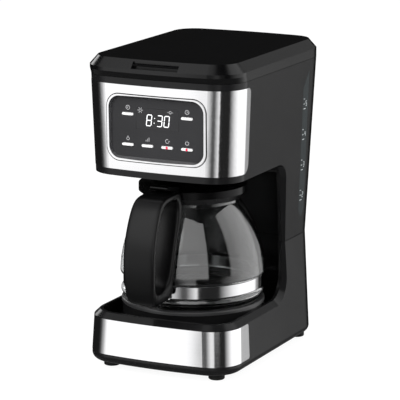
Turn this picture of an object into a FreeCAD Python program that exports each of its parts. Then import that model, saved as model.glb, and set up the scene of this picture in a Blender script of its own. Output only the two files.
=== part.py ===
import FreeCAD, Part
import math
import os

V = FreeCAD.Vector
UP = V(0, 0, 1)
BACK = V(0, 1, 0)
RIGHT = V(1, 0, 0)

# Overall form of the machine, in millimetres. Y runs from the front to the back.
LID_WIDTH = 143.0
LID_DEPTH = 198.8
CORNER_R = 26.5
BOW_R = 450.0
WALL = 2.4

# Heights from the counter
FOOT_HEIGHT = 5.6
BASE_HEIGHT = 43.8
BAY_HEIGHT = 120.6
HEAD_HEIGHT = 84.2
LID_HEIGHT = 15.5
PARTING_GAP = 0.3
BASE_Z = FOOT_HEIGHT
RIM_Z = BASE_Z + BASE_HEIGHT
HEAD_Z = RIM_Z + BAY_HEIGHT
BODY_TOP_Z = HEAD_Z + HEAD_HEIGHT
LID_Z = BODY_TOP_Z + PARTING_GAP
TOP_Z = LID_Z + LID_HEIGHT

# The waist, where the two housings meet and the sides are narrowest
WAIST_RISE = 49.1
WAIST_Z = RIM_Z + WAIST_RISE
WAIST_HALF_WIDTH = 65.8
WAIST_BACK = 90.2
HEAD_FRONT_LOW = -94.2
HEAD_FRONT_TOP = -97.1
BASE_FRONT_LOW = -103.3
BASE_FRONT_HIGH = -97.6
BASE_HALF_WIDTH = 69.9
BASE_BACK = 92.5
BASE_EDGE_R = 6.0
SEAM_BEVEL = 0.7

# Bay, the open space that the carafe stands in
COLUMN_FRONT = 21.8
COLUMN_LEAN = 6.6
BAY_LOW_R = 20.0
BAY_HIGH_R = 13.5
BAY_HIGH_SPREAD = 4.0
BAY_BACK = 44.0
BAY_HALF_WIDTH = 60.6
BAY_BACK_R = 9.0
BAY_BACK_DROP = 9.0
DECK_DROP = 11.9
RIM_WIDTH = 8.0
RIM_CHAMFER = 4.4
HEAD_EDGE = 5.2
HEAD_EDGE_IN = 3.6
HEAD_EDGE_SIDE = 0.8
DECK_Z = RIM_Z - DECK_DROP

# Stainless bands
TRIM_T = 0.8
TRIM_PROUD = 0.2
TRIM_CLEAR = 0.12
HEAD_TRIM_LOW = 5.8
HEAD_TRIM_HIGH = 5.6
HEAD_TRIM_END = -60.8
HEAD_TRIM_TOP_R = 5.0
HEAD_TRIM_LOW_R = 8.0
BASE_TRIM_LOW = 8.5
BASE_TRIM_HIGH = 4.8
BASE_TRIM_END = -57.5
BASE_TRIM_END_R = 2.5

# Lid
LID_T = 2.2
LID_BEVEL = 4.7
LID_LAND = 3.1
LID_CHAMFER_IN = 6.8
LID_LIP = 2.1
NOTCH_WIDTH = 43.0
NOTCH_DEPTH = 6.8
NOTCH_RISE = 0.5
NOTCH_TOP = 1.6
NOTCH_WALL = 1.8
GRIP_BAR_T = 1.6
LID_HINGE_SETBACK = 6.9
LID_HINGE_RISE = 4.5
LID_SWING_CLEAR = 0.4
HINGE_PIN_R = 1.5
HINGE_EYE_R = 2.9
HINGE_EAR_W = 5.0
HINGE_POST_X = 32.0
HINGE_GAP = 0.4
HINGE_ARM = 12.0
LINER_RISE = 1.5
LINER_T = 1.6
LINER_CLEAR = 0.4
LINER_BACK = 18.0
LINER_DRAFT = 0.1
STAY_X = 50.0
STAY_FRONT = -60.0
STAY_BACK = 40.0

# Fits, and how far a cut runs past a face
RUN_CLEAR = 0.05
PRESS_CLEAR = 0.02
SLIDE_CLEAR = 0.3
SEAT_GAP = 0.2
TOUCH_GAP = 0.1
CUT = 1.0

# Control panel in the front of the head
WINDOW_W = 92.0
WINDOW_H = 56.6
WINDOW_R = 12.0
BEZEL_PROUD = 0.9
BEZEL_LIP = 1.2
PANEL_W = 86.0
PANEL_H = 50.0
PANEL_R = 9.0
PANEL_SINK = 4.3
PANEL_T = 2.0
BOARD_GAP = 4.0
BOARD_T = 1.6
POST_R = 2.6
KEY_L = 10.4
KEY_H = 2.2
KEY_ROUND = 0.45
KEY_PROUD = 1.0
KEY_FLANGE = 1.0
KEY_FLANGE_RIM = 1.0
KEY_TRAVEL = 0.8
KEY_PITCH = 18.4
KEY_ROW_HIGH = 11.3
KEY_ROW_LOW = -14.7
LAMP_R = 0.75
DISPLAY_W = 40.0
DISPLAY_H = 18.0
DISPLAY_RISE = 8.2
DISPLAY_R = 1.0
LCD_MARGIN = 2.0
LCD_R = 0.6
SWITCH_W = 6.0
BOARD_MARGIN = 4.0
BOARD_R = 2.0
BOARD_SCREW_R = 1.05
BOARD_HEAD_R = 2.1
CHIP_HALF = 9.0
CHIP_T = 2.0
CHIP_LOW = -14.0
CHIP_HIGH = 2.0
PLUG_X = -34.0
PLUG_HALF = 4.0
PLUG_T = 4.0
PLUG_RISE = 10.0
PLUG_HALF_H = 5.0

# Brewing chamber, basket and drip stop
CARAFE_SETBACK = 24.5
TOP_DECK_DROP = 11.0
TOP_DECK_T = 2.0
BASKET_R = 50.5
BASKET_FOOT_R = 38.0
BASKET_T = 1.8
BASKET_FLANGE = 3.5
FILL_HALF = 44.0
WELL_CLEAR = 1.2
WELL_T = 1.8
SPOUT_R = 11.0
SPOUT_BORE = 8.5
SPOUT_DROP = 2.5
THROAT_R = 5.5
VALVE_R = 7.6
VALVE_STEM_R = 2.2
VALVE_FOOT_R = 5.0
VALVE_LIFT = 2.5
VALVE_T = 1.6
SEAL_T = 1.2
SEAL_LIP = 0.4
GUIDE_H = 2.0
GUIDE_T = 1.2
GUIDE_ARMS = 3
GUIDE_ARM_HALF = 0.8
SPRING_WIRE_R = 0.4
SPRING_R = 3.9
SPRING_TURNS = 4
SPRING_STEPS = 8
FILTER_T = 1.6
FILTER_DROP = 3.0
FILTER_RISE = 3.0
FILTER_RIM = 4.0
FILTER_SILL = 3.0
FILTER_LAP = 0.3
FILTER_RIBS = 6
FILTER_RIB_HALF = 3.0
MESH_T = 0.5
MESH_GAP = 0.15
MESH_DROP = 1.0
BAIL_R = 49.0
BAIL_W = 3.6
BAIL_T = 2.0
BAIL_EYE_T = 1.0
BAIL_EAR_HALF = 3.0
BAIL_PIN_LAP = 1.0
SPRAY_R = 28.0
SPRAY_H = 6.0
SPRAY_HOLE_R = 1.3
SPRAY_T = 1.5
SPRAY_ROWS = ((6, 0.36), (12, 0.74))
CHANNEL_SIDE = 2.0

# Water side
TANK_T = 1.8
TANK_FLOOR = 2.5
TANK_CLEAR = 1.0
TANK_RISE = 6.5
TANK_FRONT_R = 4.0
TUBE_R = 4.5
TUBE_BORE = 3.0
TUBE_X = 54.5
TUBE_Y = 57.0
TUBE_ROOM = 2.5
NIPPLE_R = 4.2
NIPPLE_BORE = 2.4
NIPPLE_L = 9.0
HOSE_R = 6.0
HOSE_CLEAR = 0.1
HOSE_Z = 18.0
HOSE_BEND = 12.0
HOSE_TOP_DROP = 4.0
RISER_LAP = 14.0
CLIP_T = 1.0
CLIP_HALF = 2.0
CLIP_DROP = 5.0
OUTLET_X = 28.0
OUTLET_Y = 70.0
VALVE_BODY_R = 7.0
VALVE_BODY_H = 21.0
BALL_R = 3.2
BALL_TRAVEL = 3.0
BALL_ROOM = 1.0
BALL_FLOOR_RISE = 6.0
SOCKET_L = 4.5
BYPASS_HALF = 0.8
BYPASS_RISE = 2.0
SCREEN_R = 6.0
SCREEN_T = 1.0
SCREEN_H = 6.0
SCREEN_SLOTS = 6
SCREEN_SLOT_HALF = 0.8
SCREEN_SLOT_LOW = 1.5
SCREEN_SLOT_HIGH = 5.0
GAUGE_W = 11.6
GAUGE_Y = 56.1
GAUGE_LOW = 15.0
GAUGE_POINT = 7.5
GAUGE_HIGH = 9.2
GAUGE_TAPER = 15.0

# Hot plate and heater
PLATE_R = 58.2
PLATE_T = 1.6
PLATE_RISE = 6.0
PLATE_RIM = 5.0
PLATE_DISH = 0.4
GASKET_W = 4.0
GASKET_H = 3.4
GASKET_DROP = 0.6
GASKET_LIP = 2.2
GASKET_EDGE_R = 1.4
BOSS_T = 2.6
BOSS_INSET = 0.8
HEATER_R = 38.0
HEATER_TUBE_R = 4.6
HEATER_GAP_DEG = 30.0
HEATER_BEND = 9.0
HEATER_LEG = 4.5
ELEMENT_R = 4.2
PIN_R = 1.5
PIN_L = 10.0
CLAMP_HALF = 8.0
CLAMP_TAB_T = 2.0
CLAMP_TAB_H = 8.0
STAT_R = 7.5
STAT_H = 6.0
STAT_EAR_HALF_L = 12.0
STAT_EAR_HALF_W = 5.0
STAT_EAR_T = 1.2
STAT_BLADE_X = 4.0
STAT_BLADE_HALF_W = 2.0
STAT_BLADE_HALF_T = 0.4
STAT_BLADE_L = 6.0
FUSE_R = 2.0
FUSE_L = 16.0
FUSE_SPREAD = 55.0

# Carafe
JAR_R = 63.2
JAR_T = 2.2
JAR_DOME_R = 105.0
SHOULDER_RISE = 19.8
JAR_FOOT_R = 52.0
FOOT_CURVE_R = 13.0
BULGE_REACH = 61.7
GROOVE_R = 59.9
GROOVE_RISE = 9.8
GROOVE_H = 10.8
GROOVE_EASE = 0.6
JAR_LIP_R = 2.2
JAR_NECK_R = 40.6
JAR_NECK_H = 8.0
BAND_RISE = 0.5
BAND_H = 9.8
BAND_T = 0.7
BAND_CLEAR = 0.1
CLASP_HALF = 9.0
BAND_SCREW_L = 15.0
COLLAR_RISE = 2.8
COLLAR_T = 1.6
COLLAR_FLARE = 2.9
CARAFE_LID_R = 47.0
CARAFE_LID_H = 6.0
CARAFE_LID_DOME = 7.6
CARAFE_LID_T = 2.0
CARAFE_LID_EDGE = 1.5
CARAFE_BOSS_R = 9.0
DRIP_HOLES = 4
DRIP_HOLE_R = 4.3
DRIP_HOLE_OUT = 6.0
LUG_HALF = 8.0
LUG_R = 3.0
LUG_GAP = 1.0
LUG_WEB = 4.0
THUMB_REACH = 15.0
THUMB_LOW = 3.4
THUMB_HIGH = 6.2
THUMB_LOW_R = 1.5
THUMB_HIGH_R = 1.2
THUMB_ROOT = 8.0
THUMB_ROOT_DROP = 3.0
THUMB_HEEL = 0.6
LID_PIN_IN = 1.5
HANDLE_REACH = 104.5
HANDLE_TOP_REACH = 85.4
HANDLE_LOW_REACH = 101.4
HANDLE_TOP_RISE = 8.5
HANDLE_TOP_TAPER = 0.6
HANDLE_LOW_Z = 10.6
HANDLE_FOOT_T = 10.0
HANDLE_BELLY = 52.5
HANDLE_WIDEST = 46.5
HANDLE_BOW = 4.3
HANDLE_BOW_AT = 0.47
HANDLE_LOW_BOW = 0.5
HANDLE_SHELF = 0.4
HANDLE_W = 29.0
HANDLE_TOP_W = 27.0
HANDLE_LOW_W = 23.0
HANDLE_WALL = 5.5
HANDLE_STRAP = 5.6
HANDLE_GAP = 1.2
HANDLE_EDGE_R = 2.4

# Feet, cover and fasteners
FOOT_R = 7.0
FOOT_PLUG_R = 2.6
FOOT_FRONT_IN = 19.9
FOOT_FRONT_SET = 21.8
FOOT_BACK_IN = 13.6
FOOT_BACK_SET = 20.5
COVER_T = 2.4
COVER_INSET = 8.8
COVER_LEDGE = 3.4
VENTS = 7
VENT_PITCH = 8.0
VENT_HALF_L = 22.0
VENT_HALF_W = 1.2
SCREW_R = 1.5
SCREW_HEAD_R = 3.0
SCREW_HEAD_H = 1.8
SCREW_ROOM = 2.0
COVER_SCREW_L = 12.0
COVER_SCREW_FRONT_IN = 19.9
COVER_SCREW_FRONT_SET = 33.3
COVER_SCREW_BACK_IN = 15.9
COVER_SCREW_BACK_Y = 20.0
CASE_SCREW_L = 22.0
CASE_SCREW_SIDE_IN = 10.3
CASE_SCREW_SIDE_Y = 70.0
CASE_SCREW_BACK_X = 40.0
CASE_SCREW_BACK_SET = 12.2
BOSS_R = 3.6
CASE_BOSS_H = 18.0
RIB_HALF = 1.2
RIB_SIDE_IN = 2.4
RIB_BACK_IN = 3.0
GLAND_R = 5.2
GLAND_BORE = 3.4
GLAND_L = 10.0
GLAND_GRIP = 6.4
GLAND_FLARE = 0.8
GLAND_FLANGE = 2.0
GLAND_FLANGE_T = 3.0
GLAND_STAND = 0.6
GLAND_X = -34.0
GLAND_Z = 26.0
POWER_Z = 13.0
POWER_X = -26.0
POWER_Y = 68.5
POWER_W = 44.0
POWER_D = 26.0
POWER_POST_X = 16.0
RELAY_AT = (11.0, 6.0)
RELAY_SIZE = (16.0, 10.0, 14.0)
COIL_AT = (-10.0, -4.0)
COIL_SIZE = (16.0, 14.0, 12.0)
CAPACITOR_AT = (10.0, -7.0)
CAPACITOR_R = 3.5
CAPACITOR_H = 11.0
LOOM_R = 2.0
LOOM_AT = (20.0, -8.0)
LOOM_Z = 40.0
LOOM_BEND = 5.5
LOOM_SIDE_GAP = 0.9
LOOM_BACK_GAP = 0.6
LOOM_STAND = 14.0

# Places that follow from the sizes above. The carafe's grip and the lid's back bound the depth.
HALF_DEPTH = LID_DEPTH / 2
AXIS_Y = -CARAFE_SETBACK
MID_Y = (CARAFE_SETBACK + HANDLE_REACH - HALF_DEPTH) / 2
PLATE_TOP_Z = RIM_Z + PLATE_RISE
JAR_Z = PLATE_TOP_Z + SEAT_GAP
GASKET_Z = PLATE_TOP_Z - GASKET_DROP - GASKET_H
PANEL_Z = (HEAD_Z + HEAD_TRIM_LOW + BODY_TOP_Z - HEAD_TRIM_HIGH) / 2
HINGE_Y = HALF_DEPTH - LID_HINGE_SETBACK
HINGE_Z = LID_Z + LID_HINGE_RISE
TOP_DECK_Z = BODY_TOP_Z - TOP_DECK_DROP
TANK_Z = WAIST_Z + TANK_RISE
FAR = 200.0

parts = {}


def blend(z, z0, a, z1, b):
    return a + (b - a) * (z - z0) / (z1 - z0)


def lower_section(z):
    """Half width, front and back of the lower housing at a height."""
    half = blend(z, BASE_Z, BASE_HALF_WIDTH, WAIST_Z, WAIST_HALF_WIDTH)
    front = blend(z, BASE_Z, BASE_FRONT_LOW, WAIST_Z, BASE_FRONT_HIGH)
    back = blend(z, BASE_Z, BASE_BACK, WAIST_Z, WAIST_BACK)
    return half, front, back


def upper_section(z):
    """Half width, front and back of the upper housing at a height."""
    half = blend(z, WAIST_Z, WAIST_HALF_WIDTH, LID_Z, LID_WIDTH / 2)
    front = blend(z, WAIST_Z, HEAD_FRONT_LOW, LID_Z, HEAD_FRONT_TOP)
    back = blend(z, WAIST_Z, WAIST_BACK, LID_Z, HALF_DEPTH)
    return half, front, back


def corner_points(side, half, edge, way, r, bow, z):
    """A corner arc that meets the bowed edge and the straight side smoothly."""
    bow_centre = V(0, edge + way * bow, z)
    reach = math.sqrt((bow - r) ** 2 - (half - r) ** 2)
    centre = V(side * (half - r), edge + way * (bow - reach), z)
    outward = (centre - bow_centre).normalize()
    on_bow = bow_centre + outward * bow
    on_side = V(side * half, centre.y, z)
    middle = ((on_bow - centre).normalize() + (on_side - centre).normalize()).normalize()
    return on_bow, centre + middle * r, on_side


def plan_wire(half, front, back, front_r, back_r, z, front_bow, back_bow):
    """A rounded rectangle seen from above, with bowed front and back edges."""
    fr = corner_points(1, half, front, 1, front_r, front_bow, z)
    fl = corner_points(-1, half, front, 1, front_r, front_bow, z)
    br = corner_points(1, half, back, -1, back_r, back_bow, z)
    bl = corner_points(-1, half, back, -1, back_r, back_bow, z)
    curves = [
        Part.Arc(fl[0], V(0, front, z), fr[0]),
        Part.Arc(fr[0], fr[1], fr[2]),
        Part.LineSegment(fr[2], br[2]),
        Part.Arc(br[2], br[1], br[0]),
        Part.Arc(br[0], V(0, back, z), bl[0]),
        Part.Arc(bl[0], bl[1], bl[2]),
        Part.LineSegment(bl[2], fl[2]),
        Part.Arc(fl[2], fl[1], fl[0]),
    ]
    return Part.Wire([curve.toShape() for curve in curves])


def section_wire(section, z, inset):
    half, front, back = section(z)
    r = CORNER_R - inset
    bow = BOW_R - inset
    return plan_wire(half - inset, front + inset, back - inset, r, r, z, bow, bow)


def section_loft(section, z0, z1, inset):
    wires = [section_wire(section, z0, inset), section_wire(section, z1, inset)]
    return Part.makeLoft(wires, True, True)


def plan_prism(section, z_at, inset, z0, z1):
    """A straight prism on the outline that a section has at one height."""
    wire = section_wire(section, z_at, inset)
    wire.translate(V(0, 0, z0 - z_at))
    return Part.Face(wire).extrude(V(0, 0, z1 - z0))


def rounded_edges(points, place):
    """Edges of a closed polygon of (u, v, radius) corners; place maps u, v to a point."""
    count = len(points)
    corners = []
    for i in range(count):
        u, v, r = points[i]
        here = place(u, v)
        before = place(*points[i - 1][:2])
        after = place(*points[(i + 1) % count][:2])
        a = (before - here).normalize()
        b = (after - here).normalize()
        if r == 0:
            corners.append((here, None, here))
            continue
        half_turn = math.acos(max(-1.0, min(1.0, a.dot(b)))) / 2
        run = r / math.tan(half_turn)
        centre = here + (a + b).normalize() * (r / math.sin(half_turn))
        near = centre + (here - centre).normalize() * r
        corners.append((here + a * run, near, here + b * run))
    edges = []
    for i in range(count):
        start, near, end = corners[i]
        if near is not None:
            edges.append(Part.Arc(start, near, end).toShape())
        following = corners[(i + 1) % count][0]
        if end.distanceToPoint(following) > 1e-6:
            edges.append(Part.LineSegment(end, following).toShape())
    return edges


def side_prism(points, x0, x1):
    """A prism across the machine on an outline of (y, z, radius) corners."""
    wire = Part.Wire(rounded_edges(points, lambda u, v: V(x0, u, v)))
    return Part.Face(wire).extrude(V(x1 - x0, 0, 0))


def front_wire(x, z, width, height, r, y):
    """A rounded rectangle seen from the front."""
    w = width / 2
    h = height / 2
    points = [(x - w, z - h, r), (x + w, z - h, r), (x + w, z + h, r), (x - w, z + h, r)]
    return Part.Wire(rounded_edges(points, lambda u, v: V(u, y, v)))


def front_prism(x, z, width, height, r, y0, y1):
    wire = front_wire(x, z, width, height, r, y0)
    return Part.Face(wire).extrude(V(0, y1 - y0, 0))


def box(x0, x1, y0, y1, z0, z1):
    return Part.makeBox(x1 - x0, y1 - y0, z1 - z0, V(x0, y0, z0))


def post(x, y, r, z0, z1):
    return Part.makeCylinder(r, z1 - z0, V(x, y, z0), UP)


def ring(x, y, outer, inner, z0, z1):
    return post(x, y, outer, z0, z1).cut(post(x, y, inner, z0, z1))


def cone(r0, r1, z0, z1):
    """A cone on the brewing axis."""
    return Part.makeCone(r0, r1, z1 - z0, V(0, AXIS_Y, z0), UP)


def turned(curves):
    """A solid of revolution on the brewing axis from curves in radius and height."""
    face = Part.Face(Part.Wire([curve.toShape() for curve in curves]))
    solid = face.revolve(V(0, 0, 0), UP, 360)
    solid.translate(V(0, AXIS_Y, 0))
    return solid


def fuse(first, *others):
    return first.multiFuse(list(others)).removeSplitter()


def rounded_path(points, radius):
    """A path of straight runs joined by tangent arcs of one radius."""
    edges = []
    start = points[0]
    for i in range(1, len(points) - 1):
        here = points[i]
        a = (points[i - 1] - here).normalize()
        b = (points[i + 1] - here).normalize()
        half_turn = math.acos(a.dot(b)) / 2
        run = radius / math.tan(half_turn)
        centre = here + (a + b).normalize() * (radius / math.sin(half_turn))
        near = centre + (here - centre).normalize() * radius
        edges.append(Part.LineSegment(start, here + a * run).toShape())
        edges.append(Part.Arc(here + a * run, near, here + b * run).toShape())
        start = here + b * run
    edges.append(Part.LineSegment(start, points[-1]).toShape())
    return Part.Wire(edges)


def rod(path, r):
    """A round bar of one radius along a path."""
    first = path.OrderedEdges[0]
    start = first.valueAt(first.FirstParameter)
    along = first.tangentAt(first.FirstParameter)
    if path.OrderedVertexes[0].Point.distanceToPoint(start) > 1e-6:
        start = first.valueAt(first.LastParameter)
        along = first.tangentAt(first.LastParameter) * -1
    profile = Part.Wire([Part.Circle(start, along, r).toShape()])
    return path.makePipeShell([profile], True, False)


def pipe(path, r, bore):
    return rod(path, r).cut(rod(path, bore))


def bay_outline(grow, low):
    """Side view of the bay: open at the front, swept up into the column that leans over it."""
    back = COLUMN_FRONT + grow
    high = HEAD_Z + min(grow, WALL)
    return [(-FAR, low, 0), (back, low, BAY_LOW_R + grow), (back, WAIST_Z, 0),
            (back - COLUMN_LEAN, high, BAY_HIGH_R + grow), (-FAR, high, 0)]


def recess(grow):
    """The deeper middle of the bay, from the deck up the column."""
    front = lower_section(RIM_Z)[1]
    top = HEAD_Z - BAY_BACK_DROP + grow
    low = DECK_Z - grow
    inset = RIM_WIDTH - grow
    wire = plan_wire(BAY_HALF_WIDTH + grow, front + inset, BAY_BACK + grow,
                     CORNER_R - inset, BAY_BACK_R + grow, low, BOW_R - inset, FAR * FAR)
    return Part.Face(wire).extrude(V(0, 0, top - low))


def bay_bevels():
    """Bevels that follow the bay's edge on both sides, from the rim up the column."""
    half = lower_section(RIM_Z)[0]
    grow = RIM_CHAMFER + CUT
    low = RIM_Z - grow
    back = COLUMN_FRONT + grow
    wide = [(0, low, 0), (back, low, BAY_LOW_R + grow), (back, WAIST_Z, 0),
            (back - COLUMN_LEAN, HEAD_Z, BAY_HIGH_R + BAY_HIGH_SPREAD), (0, HEAD_Z, 0)]
    narrow = [(0, RIM_Z, 0), (COLUMN_FRONT, RIM_Z, BAY_LOW_R), (COLUMN_FRONT, WAIST_Z, 0),
              (COLUMN_FRONT - COLUMN_LEAN, HEAD_Z, BAY_HIGH_R), (0, HEAD_Z, 0)]
    tools = []
    for side in (-1, 1):
        inner_x = side * (half - RIM_CHAMFER)
        outer_x = side * (half - RIM_CHAMFER + grow)
        inner = Part.Wire(rounded_edges(narrow, lambda u, v: V(inner_x, u, v)))
        outer = Part.Wire(rounded_edges(wide, lambda u, v: V(outer_x, u, v)))
        tools.append(Part.makeLoft([inner, outer], True, True))
    return tools


def edge_bevel(z, size, back):
    """What a chamfer takes off the outer edge of the lower housing at a height, up to a depth."""
    low = z - size
    wires = [section_wire(lower_section, low, 0), section_wire(lower_section, z, size)]
    kept = Part.makeLoft(wires, True, True)
    return box(-FAR, FAR, -FAR, back, low, z).cut(kept)


def trim_band(section, z0, z1, end, high_r, low_r, outset, inset, grow):
    """A thin band round the front of a housing, with rounded ends on the sides."""
    skin = section_loft(section, z0 - CUT, z1 + CUT, -outset)
    skin = skin.cut(section_loft(section, z0 - CUT, z1 + CUT, inset))
    outline = [(-FAR, z0 - grow, 0), (end + grow, z0 - grow, low_r), (end + grow, z1 + grow, high_r),
               (-FAR, z1 + grow, 0)]
    return skin.common(side_prism(outline, -FAR, FAR))


def head_band(outset, inset, grow):
    return trim_band(upper_section, HEAD_Z + HEAD_TRIM_LOW, BODY_TOP_Z - HEAD_TRIM_HIGH, HEAD_TRIM_END,
                     HEAD_TRIM_TOP_R, HEAD_TRIM_LOW_R, outset, inset, grow)


def base_band(outset, inset, grow):
    return trim_band(lower_section, BASE_Z + BASE_TRIM_LOW, RIM_Z - BASE_TRIM_HIGH, BASE_TRIM_END,
                     BASE_TRIM_END_R, BASE_TRIM_END_R, outset, inset, grow)


# Panel planes, counted back from the front of the head at the panel's height
PANEL_FRONT = upper_section(PANEL_Z)[1] + PANEL_SINK
PANEL_BACK = PANEL_FRONT + PANEL_T
BOARD_FRONT = PANEL_BACK + BOARD_GAP
BOARD_BACK = BOARD_FRONT + BOARD_T
COVER_Z = BASE_Z + COVER_T
BOSS_TOP_Z = GASKET_Z - TOUCH_GAP
BOSS_OUTER_R = PLATE_R + GASKET_W - BOSS_INSET
WELL_FLOOR_Z = HEAD_Z + WALL + SEAT_GAP + WELL_T

# Basket and filter levels
BASKET_FLOOR_Z = WELL_FLOOR_Z + WELL_CLEAR
BASKET_TOP_Z = TOP_DECK_Z + SEAT_GAP + BASKET_T
SPOUT_Z = HEAD_Z - SPOUT_DROP
GUIDE_Z = HEAD_Z + WALL
BAIL_Z = BASKET_TOP_Z + SLIDE_CLEAR + HINGE_PIN_R + BAIL_EYE_T
FILTER_LOW_Z = BASKET_FLOOR_Z + BASKET_T + VALVE_LIFT + VALVE_T + SEAL_T + FILTER_RISE
FILTER_TOP_Z = BASKET_TOP_Z - FILTER_DROP

# Carafe levels, and the hinge of its lid
GROOVE_Z = JAR_Z + GROOVE_RISE
BAND_Z = GROOVE_Z + BAND_RISE
SHOULDER_Z = JAR_Z + SHOULDER_RISE
NECK_Z = SHOULDER_Z + math.sqrt(JAR_DOME_R ** 2 - (JAR_DOME_R - JAR_R + JAR_NECK_R) ** 2)
MOUTH_Z = NECK_Z + JAR_NECK_H
COLLAR_Z = NECK_Z + COLLAR_RISE
CARAFE_LID_Z = MOUTH_Z + SLIDE_CLEAR
CARAFE_TOP_Z = CARAFE_LID_Z + CARAFE_LID_H + CARAFE_LID_DOME
VALVE_FOOT_Z = CARAFE_TOP_Z + SLIDE_CLEAR
HANDLE_TOP_Z = MOUTH_Z + HANDLE_TOP_RISE
HANDLE_BOTTOM_Z = JAR_Z + HANDLE_LOW_Z
HANDLE_FOOT_IN = JAR_R + BAND_CLEAR + BAND_T + SEAT_GAP
BELLY_Z = JAR_Z + HANDLE_BELLY
WIDEST_Z = JAR_Z + HANDLE_WIDEST
SCREW_LINE_Z = HANDLE_BOTTOM_Z + HANDLE_FOOT_T / 2
BAND_SCREW_IN = GROOVE_R + BAND_CLEAR + BAND_T / 2
PIVOT_Y = AXIS_Y - CARAFE_LID_R - LUG_R - LUG_GAP
PIVOT_Z = HANDLE_TOP_Z - LUG_R

# Water levels
VALVE_BODY_Z = TANK_Z - NIPPLE_L - VALVE_BODY_H + SOCKET_L
BALL_FLOOR_Z = VALVE_BODY_Z + BALL_FLOOR_RISE
HEATER_Z = PLATE_TOP_Z - PLATE_T - SEAT_GAP - HEATER_TUBE_R
HOSE_TOP_Z = HEATER_Z - HEATER_BEND
RISER_LOW_Z = WAIST_Z - HOSE_TOP_DROP - RISER_LAP


def both_sides(x, y):
    return [(x, y), (-x, y)]


FEET = both_sides(BASE_HALF_WIDTH - FOOT_FRONT_IN, BASE_FRONT_LOW + FOOT_FRONT_SET)
FEET += both_sides(BASE_HALF_WIDTH - FOOT_BACK_IN, BASE_BACK - FOOT_BACK_SET)
COVER_SCREWS = both_sides(BASE_HALF_WIDTH - COVER_SCREW_FRONT_IN, BASE_FRONT_LOW + COVER_SCREW_FRONT_SET)
COVER_SCREWS += both_sides(BASE_HALF_WIDTH - COVER_SCREW_BACK_IN, COVER_SCREW_BACK_Y)
SIDE_SCREWS = both_sides(WAIST_HALF_WIDTH - CASE_SCREW_SIDE_IN, CASE_SCREW_SIDE_Y)
BACK_SCREWS = both_sides(CASE_SCREW_BACK_X, WAIST_BACK - CASE_SCREW_BACK_SET)
CASE_SCREWS = SIDE_SCREWS + BACK_SCREWS
POWER_POSTS = [(POWER_X - POWER_POST_X, POWER_Y), (POWER_X + POWER_POST_X, POWER_Y)]


def screw_bosses(section, z, z0, z1):
    """Round bosses for the case screws, each tied to the nearest wall by a rib."""
    half, front, back = section(z)
    bosses = [post(x, y, BOSS_R, z0, z1) for x, y in CASE_SCREWS]
    for x, y in SIDE_SCREWS:
        wall_x = math.copysign(half - RIB_SIDE_IN, x)
        bosses.append(box(min(x, wall_x), max(x, wall_x), y - RIB_HALF, y + RIB_HALF, z0, z1))
    for x, y in BACK_SCREWS:
        bosses.append(box(x - RIB_HALF, x + RIB_HALF, y, back - RIB_BACK_IN, z0, z1))
    return bosses


def base_shell():
    """Lower housing: the base tray, its rim and the foot of the column."""
    outer = section_loft(lower_section, BASE_Z, WAIST_Z, 0)
    bottom = [edge for edge in outer.Edges if abs(edge.BoundBox.ZMax - BASE_Z) < 1e-6]
    outer = outer.makeFillet(BASE_EDGE_R, bottom)
    shell = outer.cut(side_prism(bay_outline(0, RIM_Z), -FAR, FAR))
    shell = shell.cut(recess(0)).cut(edge_bevel(RIM_Z, RIM_CHAMFER, 0))
    shell = shell.cut(edge_bevel(WAIST_Z, SEAM_BEVEL, FAR))
    for tool in bay_bevels():
        shell = shell.cut(tool)
    inner_low = COVER_Z + SEAT_GAP + COVER_LEDGE
    inner = section_loft(lower_section, inner_low, WAIST_Z + WALL, WALL)
    inner = inner.cut(side_prism(bay_outline(WALL * 2, RIM_Z - RIM_CHAMFER - WALL), -FAR, FAR))
    inner = inner.cut(recess(WALL))
    shell = shell.cut(inner)
    seat_top = COVER_Z + SEAT_GAP
    shell = shell.cut(plan_prism(lower_section, BASE_Z, COVER_INSET - SEAT_GAP, BASE_Z - CUT, seat_top))
    shell = shell.cut(plan_prism(lower_section, BASE_Z, COVER_INSET + COVER_LEDGE, BASE_Z, inner_low + CUT))
    shell = shell.cut(base_band(CUT, TRIM_T - TRIM_PROUD + TRIM_CLEAR, TRIM_CLEAR))
    boss_bore = BOSS_OUTER_R - BOSS_T
    boss = ring(0, AXIS_Y, BOSS_OUTER_R, boss_bore, DECK_Z - WALL, BOSS_TOP_Z)
    posts = [post(x, y, BOSS_R, COVER_Z + SEAT_GAP, DECK_Z - WALL / 2) for x, y in COVER_SCREWS]
    posts += screw_bosses(lower_section, WAIST_Z, WAIST_Z - CASE_BOSS_H, WAIST_Z)
    shell = fuse(shell, boss, *posts)
    shell = shell.cut(post(0, AXIS_Y, boss_bore, DECK_Z - WALL - CUT, BOSS_TOP_Z + CUT))
    hole_top = BASE_Z + SCREW_HEAD_H + COVER_SCREW_L + SCREW_ROOM
    for x, y in COVER_SCREWS:
        shell = shell.cut(post(x, y, SCREW_R + RUN_CLEAR, BASE_Z, hole_top))
    for x, y in CASE_SCREWS:
        shell = shell.cut(post(x, y, SCREW_R + RUN_CLEAR, WAIST_Z - CASE_BOSS_H - CUT, WAIST_Z + CUT))
    inner_end = V(GLAND_X, lower_section(GLAND_Z)[2] - GLAND_L - CUT, GLAND_Z)
    return shell.cut(Part.makeCylinder(GLAND_R + PRESS_CLEAR, GLAND_L * 2, inner_end, BACK))


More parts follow.
